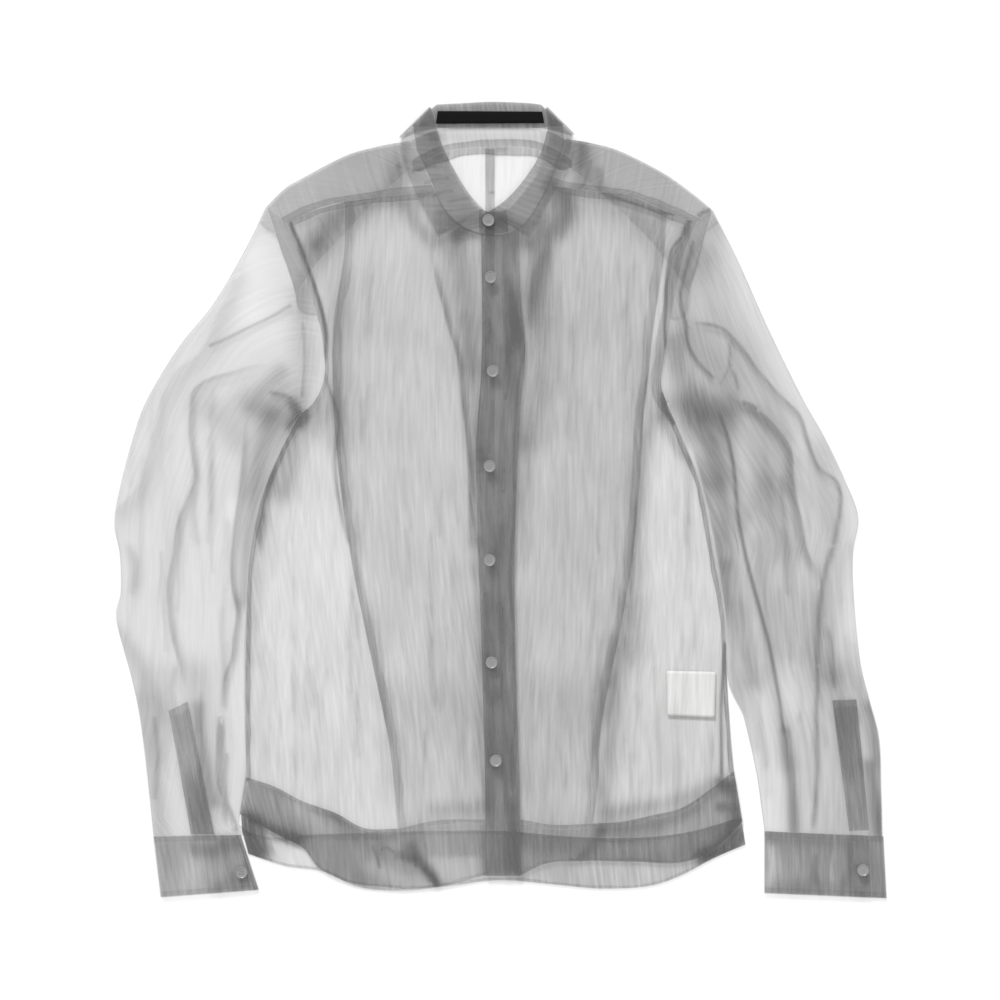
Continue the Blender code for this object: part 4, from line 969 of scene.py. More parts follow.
right_grid = beside([side_r, facing_r, placket_zone])
left_grid = beside([placket_zone, facing_l, side_l])
left_columns = np.arange(left_grid.shape[1])[None, :]
over_right = 1 - ease(PLACKET_ACROSS, PLACKET_ACROSS + BESIDE_PLACKET, left_columns)
right_points = raised(right_grid, front_height(right_grid, side_seam_right, 0))
left_points = raised(left_grid, front_height(left_grid, side_seam_left, LEVEL * over_right))
fronts = []
for side, points, plies, armhole_band, yoke_seam, side_seam, neck, folds in (
    ("right", right_points, 1.45, (armhole_right, 4.0, 2.6), yoke_seam_right, side_seam_right,
     neck_right, FRONT_RIGHT_FOLDS),
    ("left", left_points, 1.75, (armhole_left, 10.0, 2.8), yoke_seam_left, side_seam_left,
     neck_left, FRONT_LEFT_FOLDS),
):
    bands = [
        armhole_band,
        (yoke_seam, *FRONT_YOKE_BAND),
        (side_seam, *FRONT_SIDE_BAND),
        (neck, *FRONT_NECK_BAND),
    ]
    base = plies + LOW_PLIES * ease(*LOW_BODY, -points[..., 1])
    facts = plies_at(points, base, bands, folds)
    fronts.append(gauze_piece(f"Front_{side}", crinkled(points), facts, f"front_{side}"))
print("front grids:", right_grid.shape[:2], left_grid.shape[:2])

# %% [markdown]
# Under each front lies its facing, from the placket to a long slanting edge that shows through
# as a dark band, because it is turned in and stitched there. The hem has a facing as well. Both
# are cut from the front's own grid and laid one level lower.

# %% Facings and hem facings
FACING_BAND = (8.0, 1.2)
FACING_FOLD_PLIES = 2.4
HEM_PLIES = 4.4
HEM_SIDE_PLIES = 1.4
HEM_SIDE = (90, 130)
TAIL = (14, 24, 66, 84)
TAIL_LESS = 1.2
TAIL_LESS_AT_EDGE = 2.6
TAIL_EDGE = (334, 341)
HEM_TOP_BAND = (3.4, 2.2)
HEM_EDGE_BAND = (2.6, 2.2)

facing_pieces = []
for side, zone, edge, plies, hands in (
    ("right", facing_r, facing_edge_right, 1.4, (9.0, 2.4)),
    ("left", facing_l, facing_edge_left, 1.7, (2.4, 9.0)),
):
    above_hem = raised(zone[:HEM_ROW + 1], FRONT - LEVEL + MIDDLE_OF_WALL)
    facts = plies_at(above_hem, plies, [(edge, *FACING_BAND)], [(FACING_FOLD_PLIES, *hands, edge)])
    name = f"Front_facing_{side}"
    facing_pieces.append((gauze_piece(name, crinkled(above_hem), facts, name.lower()), above_hem))


def hem_plies(points):
    """The hem facing is turned twice at the right side and has fewer plies beside the placket."""
    x, y = points[..., 0], points[..., 1]
    plies = HEM_PLIES + HEM_SIDE_PLIES * ease(*HEM_SIDE, -x)
    beside_placket = ease(*TAIL[:2], -x) * (1 - ease(*TAIL[2:], -x))
    return plies - (TAIL_LESS + TAIL_LESS_AT_EDGE * ease(*TAIL_EDGE, -y)) * beside_placket


hem_pieces = []
for side, zones in (("right", [side_r, facing_r]), ("left", [facing_l, side_l])):
    in_hem = beside(zones)[HEM_ROW:]
    points = raised(in_hem, FRONT + MIDDLE_OF_WALL)
    bands = [(in_hem[0], *HEM_TOP_BAND), (in_hem[-1], *HEM_EDGE_BAND)]
    facts = plies_at(points, hem_plies(points), bands, HEM_FOLDS)
    name = f"Front_{side}_hem_facing"
    hem_pieces.append((gauze_piece(name, crinkled(points), facts, name.lower()), points))

PLACKET_PLIES = 5.0
PLACKET_EDGE_PLIES = 3.0
PLACKET_EDGE = (0.0, 0.12)
PLACKET_TURN_PLIES = 1.6
PLACKET_TURN = (0.5, 0.56)
PLACKET_FOLD_PLIES = 3.0
PLACKET_FOLD_WIDTH = 0.05
PLACKET_TOP_TUCK = 0.2
strip_height = front_height(placket_zone, side_seam_right, 2 * LEVEL)
across = np.linspace(0, 1, PLACKET_ACROSS + 1)[None, :]
placket_cover = (
    PLACKET_PLIES
    + PLACKET_EDGE_PLIES * (1 - ease(*PLACKET_EDGE, across))
    + PLACKET_TURN_PLIES * ease(*PLACKET_TURN, across)
    + PLACKET_FOLD_PLIES * np.exp(-(((across - PLACKET_TURN[1]) / PLACKET_FOLD_WIDTH) ** 2))
)
placket_points = raised(placket_zone, strip_height)
placket_points[0] += (placket_points[1] - placket_points[0]) * PLACKET_TOP_TUCK
placket = gauze_piece(
    "Placket",
    crinkled(placket_points),
    plies_at(placket_points, placket_cover, folds=PLACKET_FOLDS),
    "placket",
)
print("facings, hem facings and placket:", len(facing_pieces) + len(hem_pieces) + 1)

# %% [markdown]
# The back is one panel that lies on the table under everything. It reaches a little lower than
# the left front, so its hem shows there. Its centre seam shows through as a narrow strip.

# %% The back
BACK_ARMHOLE_STEPS = 48
BACK_SIDE_STEPS = 180
BACK_HEM_STEPS = 18
BACK_ACROSS = 168
SEAM_BELOW_RIGHT = [(-246, -292), (-249, -318)]
SEAM_X = -9.5
CENTRE_TOP = 334.0
CENTRE_BOTTOM = -311.0
CENTRE_HALF = 4.5
CENTRE_ROWS = 216
CENTRE_COLUMNS = 5
BACK_PLIES = 1.15
BACK_SIDE_BAND = (4.5, 1.6)
BACK_NECK_BAND = (7.0, 3.6)
NECK_SPAN = (-78, 62)
BACK_HEM_PLIES = 1.4
BACK_HEM_PLIES_LEFT = 2.6
BACK_HEM_MIDDLE = (-60, 60)
BACK_HEM_BANDS = ((3.0, 2.0), (2.6, 2.6))
CENTRE_PLIES = 1.6
CENTRE_PLIES_ABOVE = 3.0
CENTRE_ABOVE = (225, 250)

back_left_edge = chain(
    (ARMHOLE_BACK_RIGHT[2:], BACK_ARMHOLE_STEPS),
    (SIDE_RIGHT + [SEAM_BELOW_RIGHT[0], BACK_HEM_TOP[0]], BACK_SIDE_STEPS),
)
back_right_edge = chain(
    (ARMHOLE_BACK_LEFT[2:], BACK_ARMHOLE_STEPS),
    (SIDE_LEFT + [BACK_HEM_TOP[-1]], BACK_SIDE_STEPS),
)
back_top = moved(smooth(BACK_SEAM, BACK_ACROSS + 1), 0, -SEAM)
back_hem_top, back_hem = (smooth(line, BACK_ACROSS + 1) for line in (BACK_HEM_TOP, BACK_HEM))
back_left_edge[0], back_right_edge[0] = back_top[0], back_top[-1]
back_left_edge[-1], back_right_edge[-1] = back_hem_top[0], back_hem_top[-1]
back_upper = patch(back_left_edge, back_right_edge, back_top, back_hem_top)
hem_ends = [smooth([back_hem_top[k], back_hem[k]], BACK_HEM_STEPS + 1) for k in (0, -1)]
back_in_hem = patch(*hem_ends, back_hem_top, back_hem)
back_points = raised(below([back_upper, back_in_hem]), MIDDLE_OF_WALL)


def seen_at_neck(line):
    """The stretch of the back seam that shows in the neck opening."""
    return line[(line[:, 0] > NECK_SPAN[0]) & (line[:, 0] < NECK_SPAN[1])]


BACK_FOLDS += [
    (1.2, 11, 11, ARMHOLE_BACK_RIGHT[2:]),
    (1.2, 11, 11, ARMHOLE_BACK_LEFT[2:]),
    (1.8, 11, 11, BACK_SEAM[:5]),
    (0.9, 11, 11, BACK_SEAM[8:]),
]
back_bands = [
    (seen_at_neck(back_top), *BACK_NECK_BAND),
    (side_seam_right, *BACK_SIDE_BAND),
    (side_seam_left, *BACK_SIDE_BAND),
]
back_facts = plies_at(back_points, BACK_PLIES, back_bands, BACK_FOLDS)
back = gauze_piece("Back", crinkled(back_points), back_facts, "back")

hem_points = raised(back_in_hem, LEVEL + MIDDLE_OF_WALL)
back_hem_plies = (
    BACK_HEM_PLIES + BACK_HEM_PLIES_LEFT * ease(*BACK_HEM_MIDDLE, hem_points[..., 0])
)
hem_bands = [(back_hem_top, *BACK_HEM_BANDS[0]), (back_hem, *BACK_HEM_BANDS[1])]
hem_facts = plies_at(hem_points, back_hem_plies, hem_bands)
back_hem_facing = gauze_piece("Back_hem_facing", crinkled(hem_points), hem_facts, "back_hem_facing")

centre_lines = [
    smooth([(SEAM_X + dx, CENTRE_TOP), (SEAM_X + dx, CENTRE_BOTTOM)], CENTRE_ROWS)
    for dx in (-CENTRE_HALF, CENTRE_HALF)
]
centre_ends = [smooth([line[k] for line in centre_lines], CENTRE_COLUMNS) for k in (0, -1)]
centre_points = raised(patch(*centre_lines, *centre_ends), LEVEL + MIDDLE_OF_WALL)
centre_plies = CENTRE_PLIES + CENTRE_PLIES_ABOVE * ease(*CENTRE_ABOVE, centre_points[..., 1])
centre_facts = plies_at(centre_points, centre_plies)
centre_band = gauze_piece("Back_centre_band", crinkled(centre_points), centre_facts, "back_centre_band")
print("back grid:", back_points.shape[:2])

# %% [markdown]
# The yoke is one doubled piece that folds over both shoulders. Each of its columns starts at a
# front seam, runs up to the shoulder, turns round a small arc and comes down to the back seam.
# At the neck the columns have no front part, so those faces are taken out again.

# %% The yoke
YOKE = [
    (-222, 279, -203, 264), (-205, 296, -184, 273), (-190, 305, -166, 280), (-148, 327, -147, 284),
    (-118, 336, -104, 290), (-86, 342, -62, 294), (-58, 352.5, None, None), (-10, 355, None, None),
    (40, 352.5, None, None), (62, 344, 45, 300), (90, 339, 88, 294), (114, 332, 127, 288),
    (152, 313, 143, 282), (180, 294, 158, 275), (202, 276, 186, 264),
]
NECK_FIRST, NECK_LAST = 5, 9
YOKE_FINE = 14
FLAP_STEPS = 26
YOKE_BACK_STEPS = 44
FOLD_STEPS = 6
TUBE_RADIUS = (TUBE_HEIGHT - WALL) / 2
TUBE_MIDDLE = TUBE_HEIGHT / 2
YOKE_BACK_PLIES = 2.9
YOKE_FLAP_PLIES = 3.1
SHOULDER_LESS = 0.9
SHOULDER = (150, 200)
LEAF_LESS = 1.9
UNDER_LEAF = (70, 84)
LEAF_MIDDLE = -12
BACK_SHARE_OF_LEAF = 0.7
YOKE_BAND = (6.0, 3.6)
YOKE_NECK_BAND = (7.0, 3.2)


def turned(point, outward, radius, middle, start, end, steps=FOLD_STEPS):
    """Points of a fold: an arc in the upright plane through `outward`, its far side on `point`."""
    outward = np.array(outward)
    centre = np.array(point, float) - outward * radius
    angles = np.radians(np.linspace(start, end, steps + 1))
    return [(*(centre + outward * radius * math.cos(a)), middle + radius * math.sin(a)) for a in angles]


def yoke_columns(first, last, seams, open_neck):
    """Columns of the yoke between two of its sections, each from the front seam to the back seam."""
    count = (last - first) * YOKE_FINE + 1
    tops = smooth([row[:2] for row in YOKE[first:last + 1]], count, even=False)
    along = np.gradient(tops, axis=0)
    columns = []
    fronts = None if open_neck else smooth([row[2:] for row in YOKE[first:last + 1]], count, even=False)
    for k in range(count):
        seam = seams[first * YOKE_FINE + k]
        if open_neck:
            edge = [(*tops[k], MIDDLE_OF_WALL)] * (FLAP_STEPS + FOLD_STEPS)
            back_part = np.linspace(tops[k], seam, YOKE_BACK_STEPS + 1)
            columns.append(edge + [(*point, MIDDLE_OF_WALL) for point in back_part])
            continue
        step = unit(along[k])
        fold = turned(tops[k], (-step[1], step[0]), TUBE_RADIUS, TUBE_MIDDLE, 90, -90)
        front = fronts[k] + np.array([0, SEAM / 2])
        flap = np.linspace(front, np.array(fold[0][:2]), FLAP_STEPS + 1)[:-1]
        low = np.linspace(np.array(fold[-1][:2]), seam, YOKE_BACK_STEPS + 1)[1:]
        columns.append(
            [(*point, TUBE_HEIGHT - MIDDLE_OF_WALL) for point in flap]
            + fold
            + [(*point, MIDDLE_OF_WALL) for point in low]
        )
    return columns


yoke_seams = moved(smooth(BACK_SEAM, (len(YOKE) - 1) * YOKE_FINE + 1), 0, SEAM / 2)
yoke_parts = [
    yoke_columns(0, NECK_FIRST, yoke_seams, False),
    yoke_columns(NECK_FIRST, NECK_LAST, yoke_seams, True),
    yoke_columns(NECK_LAST, len(YOKE) - 1, yoke_seams, False),
]
yoke_all = yoke_parts[0] + yoke_parts[1][1:-1] + yoke_parts[2]
yoke_points = np.array(yoke_all, float).transpose(1, 0, 2)
neck_start = NECK_FIRST * YOKE_FINE
neck_end = NECK_LAST * YOKE_FINE


def at_neck(row, column):
    """Whether a face lies in the front part of a column at the neck."""
    return row < FLAP_STEPS + FOLD_STEPS and neck_start <= column < neck_end


yoke_rows = np.arange(yoke_points.shape[0])[:, None]
is_flap = yoke_rows < FLAP_STEPS + FOLD_STEPS
yoke_x = yoke_points[..., 0]
under_leaf = LEAF_LESS * (1 - ease(*UNDER_LEAF, np.abs(yoke_x - LEAF_MIDDLE)))
flap_plies = YOKE_FLAP_PLIES - SHOULDER_LESS * ease(*SHOULDER, np.abs(yoke_x)) - under_leaf
flap_bands = [
    (np.array([column[0][:2] for column in yoke_parts[side]]), *YOKE_BAND) for side in (0, 2)
]
yoke_facts = plies_at(
    yoke_points, np.where(is_flap, flap_plies, YOKE_BACK_PLIES), flap_bands, YOKE_FOLDS
)
low_facts = plies_at(
    yoke_points,
    YOKE_BACK_PLIES - BACK_SHARE_OF_LEAF * under_leaf,
    [(seen_at_neck(yoke_seams), *YOKE_NECK_BAND)],
    [(1.4, 9, 9, BACK_SEAM[:5]), (0.8, 9, 9, BACK_SEAM[8:]), *NECK_SHADES],
)
for key in yoke_facts:
    yoke_facts[key] = np.where(is_flap, yoke_facts[key], low_facts[key])
yoke = cloth_mesh("Yoke", crinkled(yoke_points), yoke_facts["cover"])
give(yoke, yoke_facts)
bm = bmesh.new()
bm.from_mesh(yoke.data)
rows_down, columns_across = (side - 1 for side in yoke_points.shape[:2])
gone = [
    face
    for index, face in enumerate(bm.faces)
    if at_neck(rows_down - 1 - index // columns_across, index % columns_across)
]
bmesh.ops.delete(bm, geom=gone, context="FACES")
loose = [vertex for vertex in bm.verts if not vertex.link_faces]
bmesh.ops.delete(bm, geom=loose, context="VERTS")
bm.to_mesh(yoke.data)
bm.free()
dressed(yoke, "yoke", plain_gauze)
print("yoke faces:", len(yoke.data.polygons))

# %% [markdown]
# A sleeve laid flat is a tube pressed nearly shut: an upper wall, a fold at each side and an
# under wall. Its rows run across the sleeve. The long creases of the worn-in sleeve stand up
# from the upper wall as soft ridges, and along their feet the cloth is folded on itself, so that
# is where it looks darkest. Where a sleeve comes close to the body, its inner edge is drawn in
# until it nearly touches the side seam. The left one lets go of it again near the cuff.

# %% The sleeves
SLEEVE_RIGHT = [
    (-239, 244, -196, 78), (-270, 190, -202, 66), (-302, 150, -215, 36), (-328, 109, -229, 3),
    (-343, 77, -236, -25), (-359, 20, -242, -56), (-366, -20, -245, -90), (-361, -50, -246, -120),
    (-360, -86, -247, -150), (-364, -113, -248, -180), (-350, -167, -248, -215), (-342, -205, -249, -250),
    (-335, -260, -249, -285), (-329, -318, -247, -317),
]
SLEEVE_LEFT = [
    (227, 226, 164, 88), (255, 163, 170, 74), (286, 100, 182, 46), (309, 59, 195, 10),
    (327, 21, 201, -20), (340, -15, 207, -50), (335, -50, 213, -80), (336, -93, 219, -125),
    (342, -152, 224, -165), (351, -189, 229, -195), (360, -225, 236, -224), (362, -275, 244, -262),
    (363, -318, 251, -313),
]
CREASES_RIGHT = [
    [(-246, 215, 0), (-272, 165, 1.6), (-306, 112, 2.0), (-330, 60, 2.0), (-346, 0, 1.2), (-346, -60, 1.6),
     (-345, -120, 1.8), (-333, -175, 0.8), (-323, -215, 0), (-318, -315, 0)],
    [(-190, 132, 0), (-247, 123, 1.4), (-286, 95, 2.2), (-293, 40, 2.4), (-303, -10, 2.4), (-314, -80, 2.4),
     (-313, -135, 2.0), (-300, -170, 0), (-283, -218, 0), (-275, -315, 0)],
    [(-185, 92, 0), (-222, 86, 1.6), (-243, 60, 2.2), (-249, 0, 2.4), (-256, -60, 2.4), (-258, -140, 2.0),
     (-265, -190, 1.4), (-266, -228, 0), (-258, -315, 0)],
]
CREASES_LEFT = [
    [(180, 172, 0), (226, 146, 2.0), (256, 106, 2.4), (292, 55, 2.2), (318, 15, 2.2), (322, -20, 1.6),
     (322, -60, 1.2), (329, -130, 1.6), (334, -180, 0), (342, -315, 0)],
    [(172, 150, 0), (215, 108, 1.4), (258, 78, 2.0), (277, 30, 2.2), (288, -35, 2.4), (300, -80, 2.6),
     (298, -135, 2.6), (301, -220, 2.2), (301, -270, 1.6), (302, -315, 0)],
    [(165, 110, 0), (205, 70, 1.4), (222, 20, 2.4), (234, -45, 2.4), (246, -110, 2.4), (259, -165, 2.4),
     (268, -235, 2.2), (276, -280, 1.4), (279, -315, 0)],
]
SLEEVE_ROWS_PER_SECTION = 19
WALL_COLUMNS = 66
ARMHOLE_REACH = 0.25
CREASE_HALF = 7.0
SLEEVE_RELIEF = 0.18
SHOULDER_BAND_END = 185.0
FOLD_PLIES = 1.3
HUG_REACH = 14.0
HUG_GAP = 0.1
HUG_FADE = 3
LET_GO_LEFT = (-205.0, -140.0)
HUG_ROUNDS = 3
ARMHOLE_FADE = 1.3
SHOULDER_BAND = (14.0, 2.0)
UPPER_PLIES = 1.25
UNDER_PLIES = 1.1
UNDER_RELIEF = 0.6
CREASE_POINTS = 60
CALM_COLUMNS = 4
MERGE_DISTANCE = 0.00001
AT_FOLD = {
    "cover": 1.0 + FOLD_PLIES, "band": FAR, "plies": 0.0, "crease": FAR, "crease_plies": 0.0
}


def sleeve_walls(table, armhole_front, armhole_back, right_side):
    """Rows of points for the upper wall, the two folds and the under wall of a sleeve."""
    sections = np.array(table, float)
    tip, armpit = np.array(armhole_back[0], float), np.array(armhole_back[-1], float)
    away = -1 if right_side else 1
    outer = np.vstack([tip + [away * 2 * SEAM, -2 * SEAM], sections[:, :2]])
    inner = np.vstack([armpit + [away * 4 * SEAM, 0], sections[:, 2:]])
    count = (len(outer) - 1) * SLEEVE_ROWS_PER_SECTION + 1
    outer, inner = smooth(outer, count, even=False), smooth(inner, count, even=False)
    seam = smooth(SIDE_RIGHT + SEAM_BELOW_RIGHT, LONG_LINE) if right_side else side_seam_left
    for _ in range(HUG_ROUNDS):
        gap = away_from(seam, inner[None])[0][0]
        near = 1 - ease(HUG_REACH, HUG_REACH + HUG_FADE, gap)
        if not right_side:
            near = near * ease(*LET_GO_LEFT, inner[:, 1])
        inner[:, 0] -= away * np.maximum(gap - HUG_GAP, 0) * near
    left, right = (outer, inner) if right_side else (inner, outer)
    out = []
    for line, way in ((left, -1), (right, 1)):
        along = np.gradient(line, axis=0)
        along /= np.linalg.norm(along, axis=1)[:, None]
        normal = np.column_stack([along[:, 1], -along[:, 0]])
        out.append(normal if normal[count // 2, 0] * way > 0 else -normal)
    left_in, right_in = left - out[0] * TUBE_RADIUS, right - out[1] * TUBE_RADIUS

    def wall(armhole):
        edge = moved(evenly(armhole, WALL_COLUMNS), away * SEAM, 0)
        edge = edge if right_side else edge[::-1]
        edge[0], edge[-1] = left_in[0], right_in[0]
        u = np.linspace(0, 1, WALL_COLUMNS + 1)[None, :, None]
        straight = (1 - u) * left_in[:, None] + u * right_in[:, None]
        fading = np.clip(1 - np.linspace(0, 1, count) / ARMHOLE_REACH, 0, 1) ** ARMHOLE_FADE
        return straight + (edge - straight[0])[None] * fading[:, None, None]

    front_edge = np.vstack([armhole_back[:1], smooth(armhole_front, 41)])
    back_edge = np.vstack([armhole_back[:1], smooth(armhole_back[2:], 25)])
    folds = [
        np.array([turned(line[k], normal[k], TUBE_RADIUS, TUBE_MIDDLE, *angles) for k in range(count)])
        for line, normal, angles in ((left, out[0], (-90, 90)), (right, out[1], (90, -90)))
    ]
    return wall(front_edge), folds[1], wall(back_edge), folds[0], front_edge


def add_sleeve(name, node, table, creases, armholes, right_side, seed, folds):
    """A sleeve as one closed tube of cloth, with its long creases, its crinkles and its plies."""
    upper, fold_right, under, fold_left, front_edge = sleeve_walls(table, *armholes, right_side)
    height = np.full(upper.shape[:2], TUBE_HEIGHT - MIDDLE_OF_WALL)
    near_shoulder = front_edge[front_edge[:, 1] > SHOULDER_BAND_END]
    facts = plies_at(upper, UPPER_PLIES, [(near_shoulder, *SHOULDER_BAND)], folds)
    for crease in creases:
        line = smooth(crease, CREASE_POINTS)
        distance, share, _ = away_from(line, upper)
        stands = np.interp(share, np.linspace(0, 1, len(line)), line[:, 2])
        height += stands * np.exp(-((distance / CREASE_HALF) ** 2))
    size = upper.shape[1]
    steps_down = np.linalg.norm(np.diff(upper[:, size // 2], axis=0), axis=1)
    down = np.concatenate([[0], np.cumsum(steps_down)])[:, None]
    widths = np.linalg.norm(upper[:, -1] - upper[:, 0], axis=1)[:, None]
    over = np.linspace(-0.5, 0.5, size)[None, :] * widths
    relief = SLEEVE_RELIEF * crinkle(over, down + 0 * over, seed)
    calm = ease(0, CALM_COLUMNS, np.arange(size))[None, :]
    calm = calm * calm[:, ::-1]
    height += relief * calm
    low_height = MIDDLE_OF_WALL + UNDER_RELIEF * relief * calm
    under_facts = plies_at(under, UNDER_PLIES, folds=[(1.2, 10, 10, armholes[1][2:])])

    def ring(on_top, at_right, below_it, at_left):
        """Columns all round the tube, with the first one again at the end."""
        around = [on_top, at_right[:, 1:-1], below_it[:, ::-1], at_left[:, 1:-1], on_top[:, :1]]
        return np.concatenate(around, axis=1)

    points = ring(raised(upper, height), fold_right, raised(under, low_height), fold_left)
    all_facts = {}
    for key, at_fold in AT_FOLD.items():
        fold = np.full(fold_right.shape[:2], at_fold)
        all_facts[key] = ring(facts[key], fold, under_facts[key], fold)
    piece = cloth_mesh(name, points, all_facts["cover"])
    give(piece, all_facts)
    bm = bmesh.new()
    bm.from_mesh(piece.data)
    bmesh.ops.remove_doubles(bm, verts=bm.verts, dist=MERGE_DISTANCE)
    bm.to_mesh(piece.data)
    bm.free()
    dressed(piece, node, plain_gauze)
    return piece, points


sleeve_right, sleeve_right_points = add_sleeve(
    "Sleeve_right", "sleeve_right", SLEEVE_RIGHT, CREASES_RIGHT,
    (ARMHOLE_FRONT_RIGHT, ARMHOLE_BACK_RIGHT), right_side=True, seed=31, folds=SLEEVE_RIGHT_FOLDS,
)
sleeve_left, sleeve_left_points = add_sleeve(
    "Sleeve_left", "sleeve_left", SLEEVE_LEFT, CREASES_LEFT,
    (ARMHOLE_FRONT_LEFT, ARMHOLE_BACK_LEFT), right_side=False, seed=47, folds=SLEEVE_LEFT_FOLDS,
)
print("sleeve faces:", len(sleeve_right.data.polygons), len(sleeve_left.data.polygons))

# %% [markdown]
# The strips on the lower sleeves bind the slits that let a hand through. Each cuff is an open
# band: it runs round under the wrist and its two ends lie over each other on top, where the
# button is. A cuff has several plies, so it is drawn with the denser faced gauze.

# %% Sleeve strips and cuffs
SLIT_RIGHT = [(-314, -199), (-296, -190), (-271, -316), (-293, -316)]
SLIT_LEFT = [(315, -189), (338, -188), (350, -312), (331, -313)]
CUFF_RIGHT = [(-329, -318.2), (-246, -317.2), (-229, -369), (-322, -376)]
CUFF_LEFT = [(364, -318.2), (251, -313.2), (251, -372), (367, -377)]
CUFF_OVERLAP = 20.0
CUFF_RUN = 40
CUFF_SHORT_RUN = 14
CUFF_ROWS = 25
CUFF_DEPTH = 54
CUFF_EDGE = 5.0
CUFF_EDGE_PLIES = 0.7
SHOWN_END = 6.0
COVERED_END = 1.0
CUFF_LOW_END = 2.1
CUFF_HIGH_END = CUFF_LOW_END + LEVEL


def four_sided(corners, across_steps, down_steps):
    """A grid between four corners: top left, top right, bottom right and bottom left."""
    top_left, top_right, low_right, low_left = (np.array(corner, float) for corner in corners)
    return patch(
        np.linspace(top_left, low_left, down_steps + 1),
        np.linspace(top_right, low_right, down_steps + 1),
        np.linspace(top_left, top_right, across_steps + 1),
        np.linspace(low_left, low_right, across_steps + 1),
    )


SLIT_STEPS = (14, 60)
LOWER_SLIT = (0.35, 0.7)
SLIT_BAND = (4.0, 1.6)
slit_pieces = []
for side, corners, plies, lower_plies in (
    ("right", SLIT_RIGHT, 5.0, 3.0),
    ("left", SLIT_LEFT, 9.5, -4.0),
):
    points = raised(four_sided(corners, *SLIT_STEPS), TUBE_HEIGHT + GAP + MIDDLE_OF_WALL)
    lower = np.linspace(0, 1, points.shape[0])[:, None]
    base = plies + lower_plies * ease(*LOWER_SLIT, lower)
    facts = plies_at(points, base, [(points[:, -1], *SLIT_BAND)])
    name = f"Sleeve_placket_{side}"
    slit_pieces.append((gauze_piece(name, points, facts, name.lower()), points, f"Sleeve_{side}"))


def add_cuff(name, node, corners, reach, plies, folds):
    """An open band laid flat, from the end that lies on top round to the end it covers."""
    top_outer, top_inner, low_inner, low_outer = (np.array(corner, float) for corner in corners)
    width = np.linalg.norm(top_inner - top_outer)
    overlap = CUFF_OVERLAP / width
    from_inner = reach < 0.5
    covered = reach + overlap if from_inner else reach - overlap
    small, large = (0.0, 1.0) if from_inner else (1.0, 0.0)
    radii = {large: CUFF_HIGH_END / 2, small: CUFF_LOW_END / 2}
    rows = []
    for t in np.linspace(0, 1, CUFF_ROWS):
        outer = top_outer + (low_outer - top_outer) * t
        inner = top_inner + (low_inner - top_inner) * t
        across = inner - outer
        out = {0.0: -unit(across), 1.0: unit(across)}
        edge = {0.0: outer, 1.0: inner}
        flat = {key: abs(key - radii[key] / width) for key in (small, large)}

        def run(start, end, height, steps):
            return [(*(outer + across * share), height) for share in np.linspace(start, end, steps + 1)]

        def fold(key, start, end):
            middle = MIDDLE_OF_WALL + radii[key]
            return turned(edge[key], out[key], radii[key], middle, start, end)[1:-1]

        rows.append(
            run(reach, flat[large], CUFF_HIGH_END + MIDDLE_OF_WALL, CUFF_RUN)
            + fold(large, 90, -90)
            + run(flat[large], flat[small], MIDDLE_OF_WALL, CUFF_RUN)
            + fold(small, -90, 90)
            + run(flat[small], covered, CUFF_LOW_END + MIDDLE_OF_WALL, CUFF_SHORT_RUN)
        )
    points = np.array(rows)
    v = np.linspace(0, 1, CUFF_ROWS)[:, None]
    steps_along = np.linalg.norm(np.diff(points[CUFF_ROWS // 2], axis=0), axis=1)
    length = np.concatenate([[0], np.cumsum(steps_along)])[None, :]
    from_end = np.minimum(length, length[0, -1] - length)
    round_edge = np.minimum(np.minimum(v, 1 - v) * CUFF_DEPTH, from_end)
    facts = plies_at(points, plies, folds=folds)
    facts["cover"][:, CUFF_RUN + 1:] = plies
    shows = min(reach, 1 - reach)
    along = np.linspace(0, 1, CUFF_SHORT_RUN + 1)[None, :]
    covered_plies = COVERED_END + (SHOWN_END - COVERED_END) * (along < shows / (shows + overlap))
    facts["cover"][:, -CUFF_SHORT_RUN - 1:] = covered_plies
    facts["crease_plies"][:, CUFF_RUN + 1:] = 0.0
    facts["band"] = round_edge / CUFF_EDGE
    facts["plies"] = np.full(points.shape[:2], CUFF_EDGE_PLIES)
    piece = gauze_piece(name, points, facts, node, faced_gauze)
    return piece, points


cuff_right, cuff_right_points = add_cuff(
    "Cuff_right", "cuff_right", CUFF_RIGHT, 0.97, 3.7, CUFF_RIGHT_FOLDS
)
cuff_left, cuff_left_points = add_cuff(
    "Cuff_left", "cuff_left", CUFF_LEFT, 0.13, 4.6, CUFF_LEFT_FOLDS
)
print("cuffs:", len(cuff_right.data.polygons), len(cuff_left.data.polygons))

# %% [markdown]
# A shirt collar is a stand that goes round the neck and a leaf that turns down over it. Laid
# flat, both fold at the sides: behind the neck the leaf lies under the stand, and in front over
# it. The table lists sections from the wearer's right front round the back to the left, each
# with its place on the roll line, on the neck seam and on the leaf's free edge.

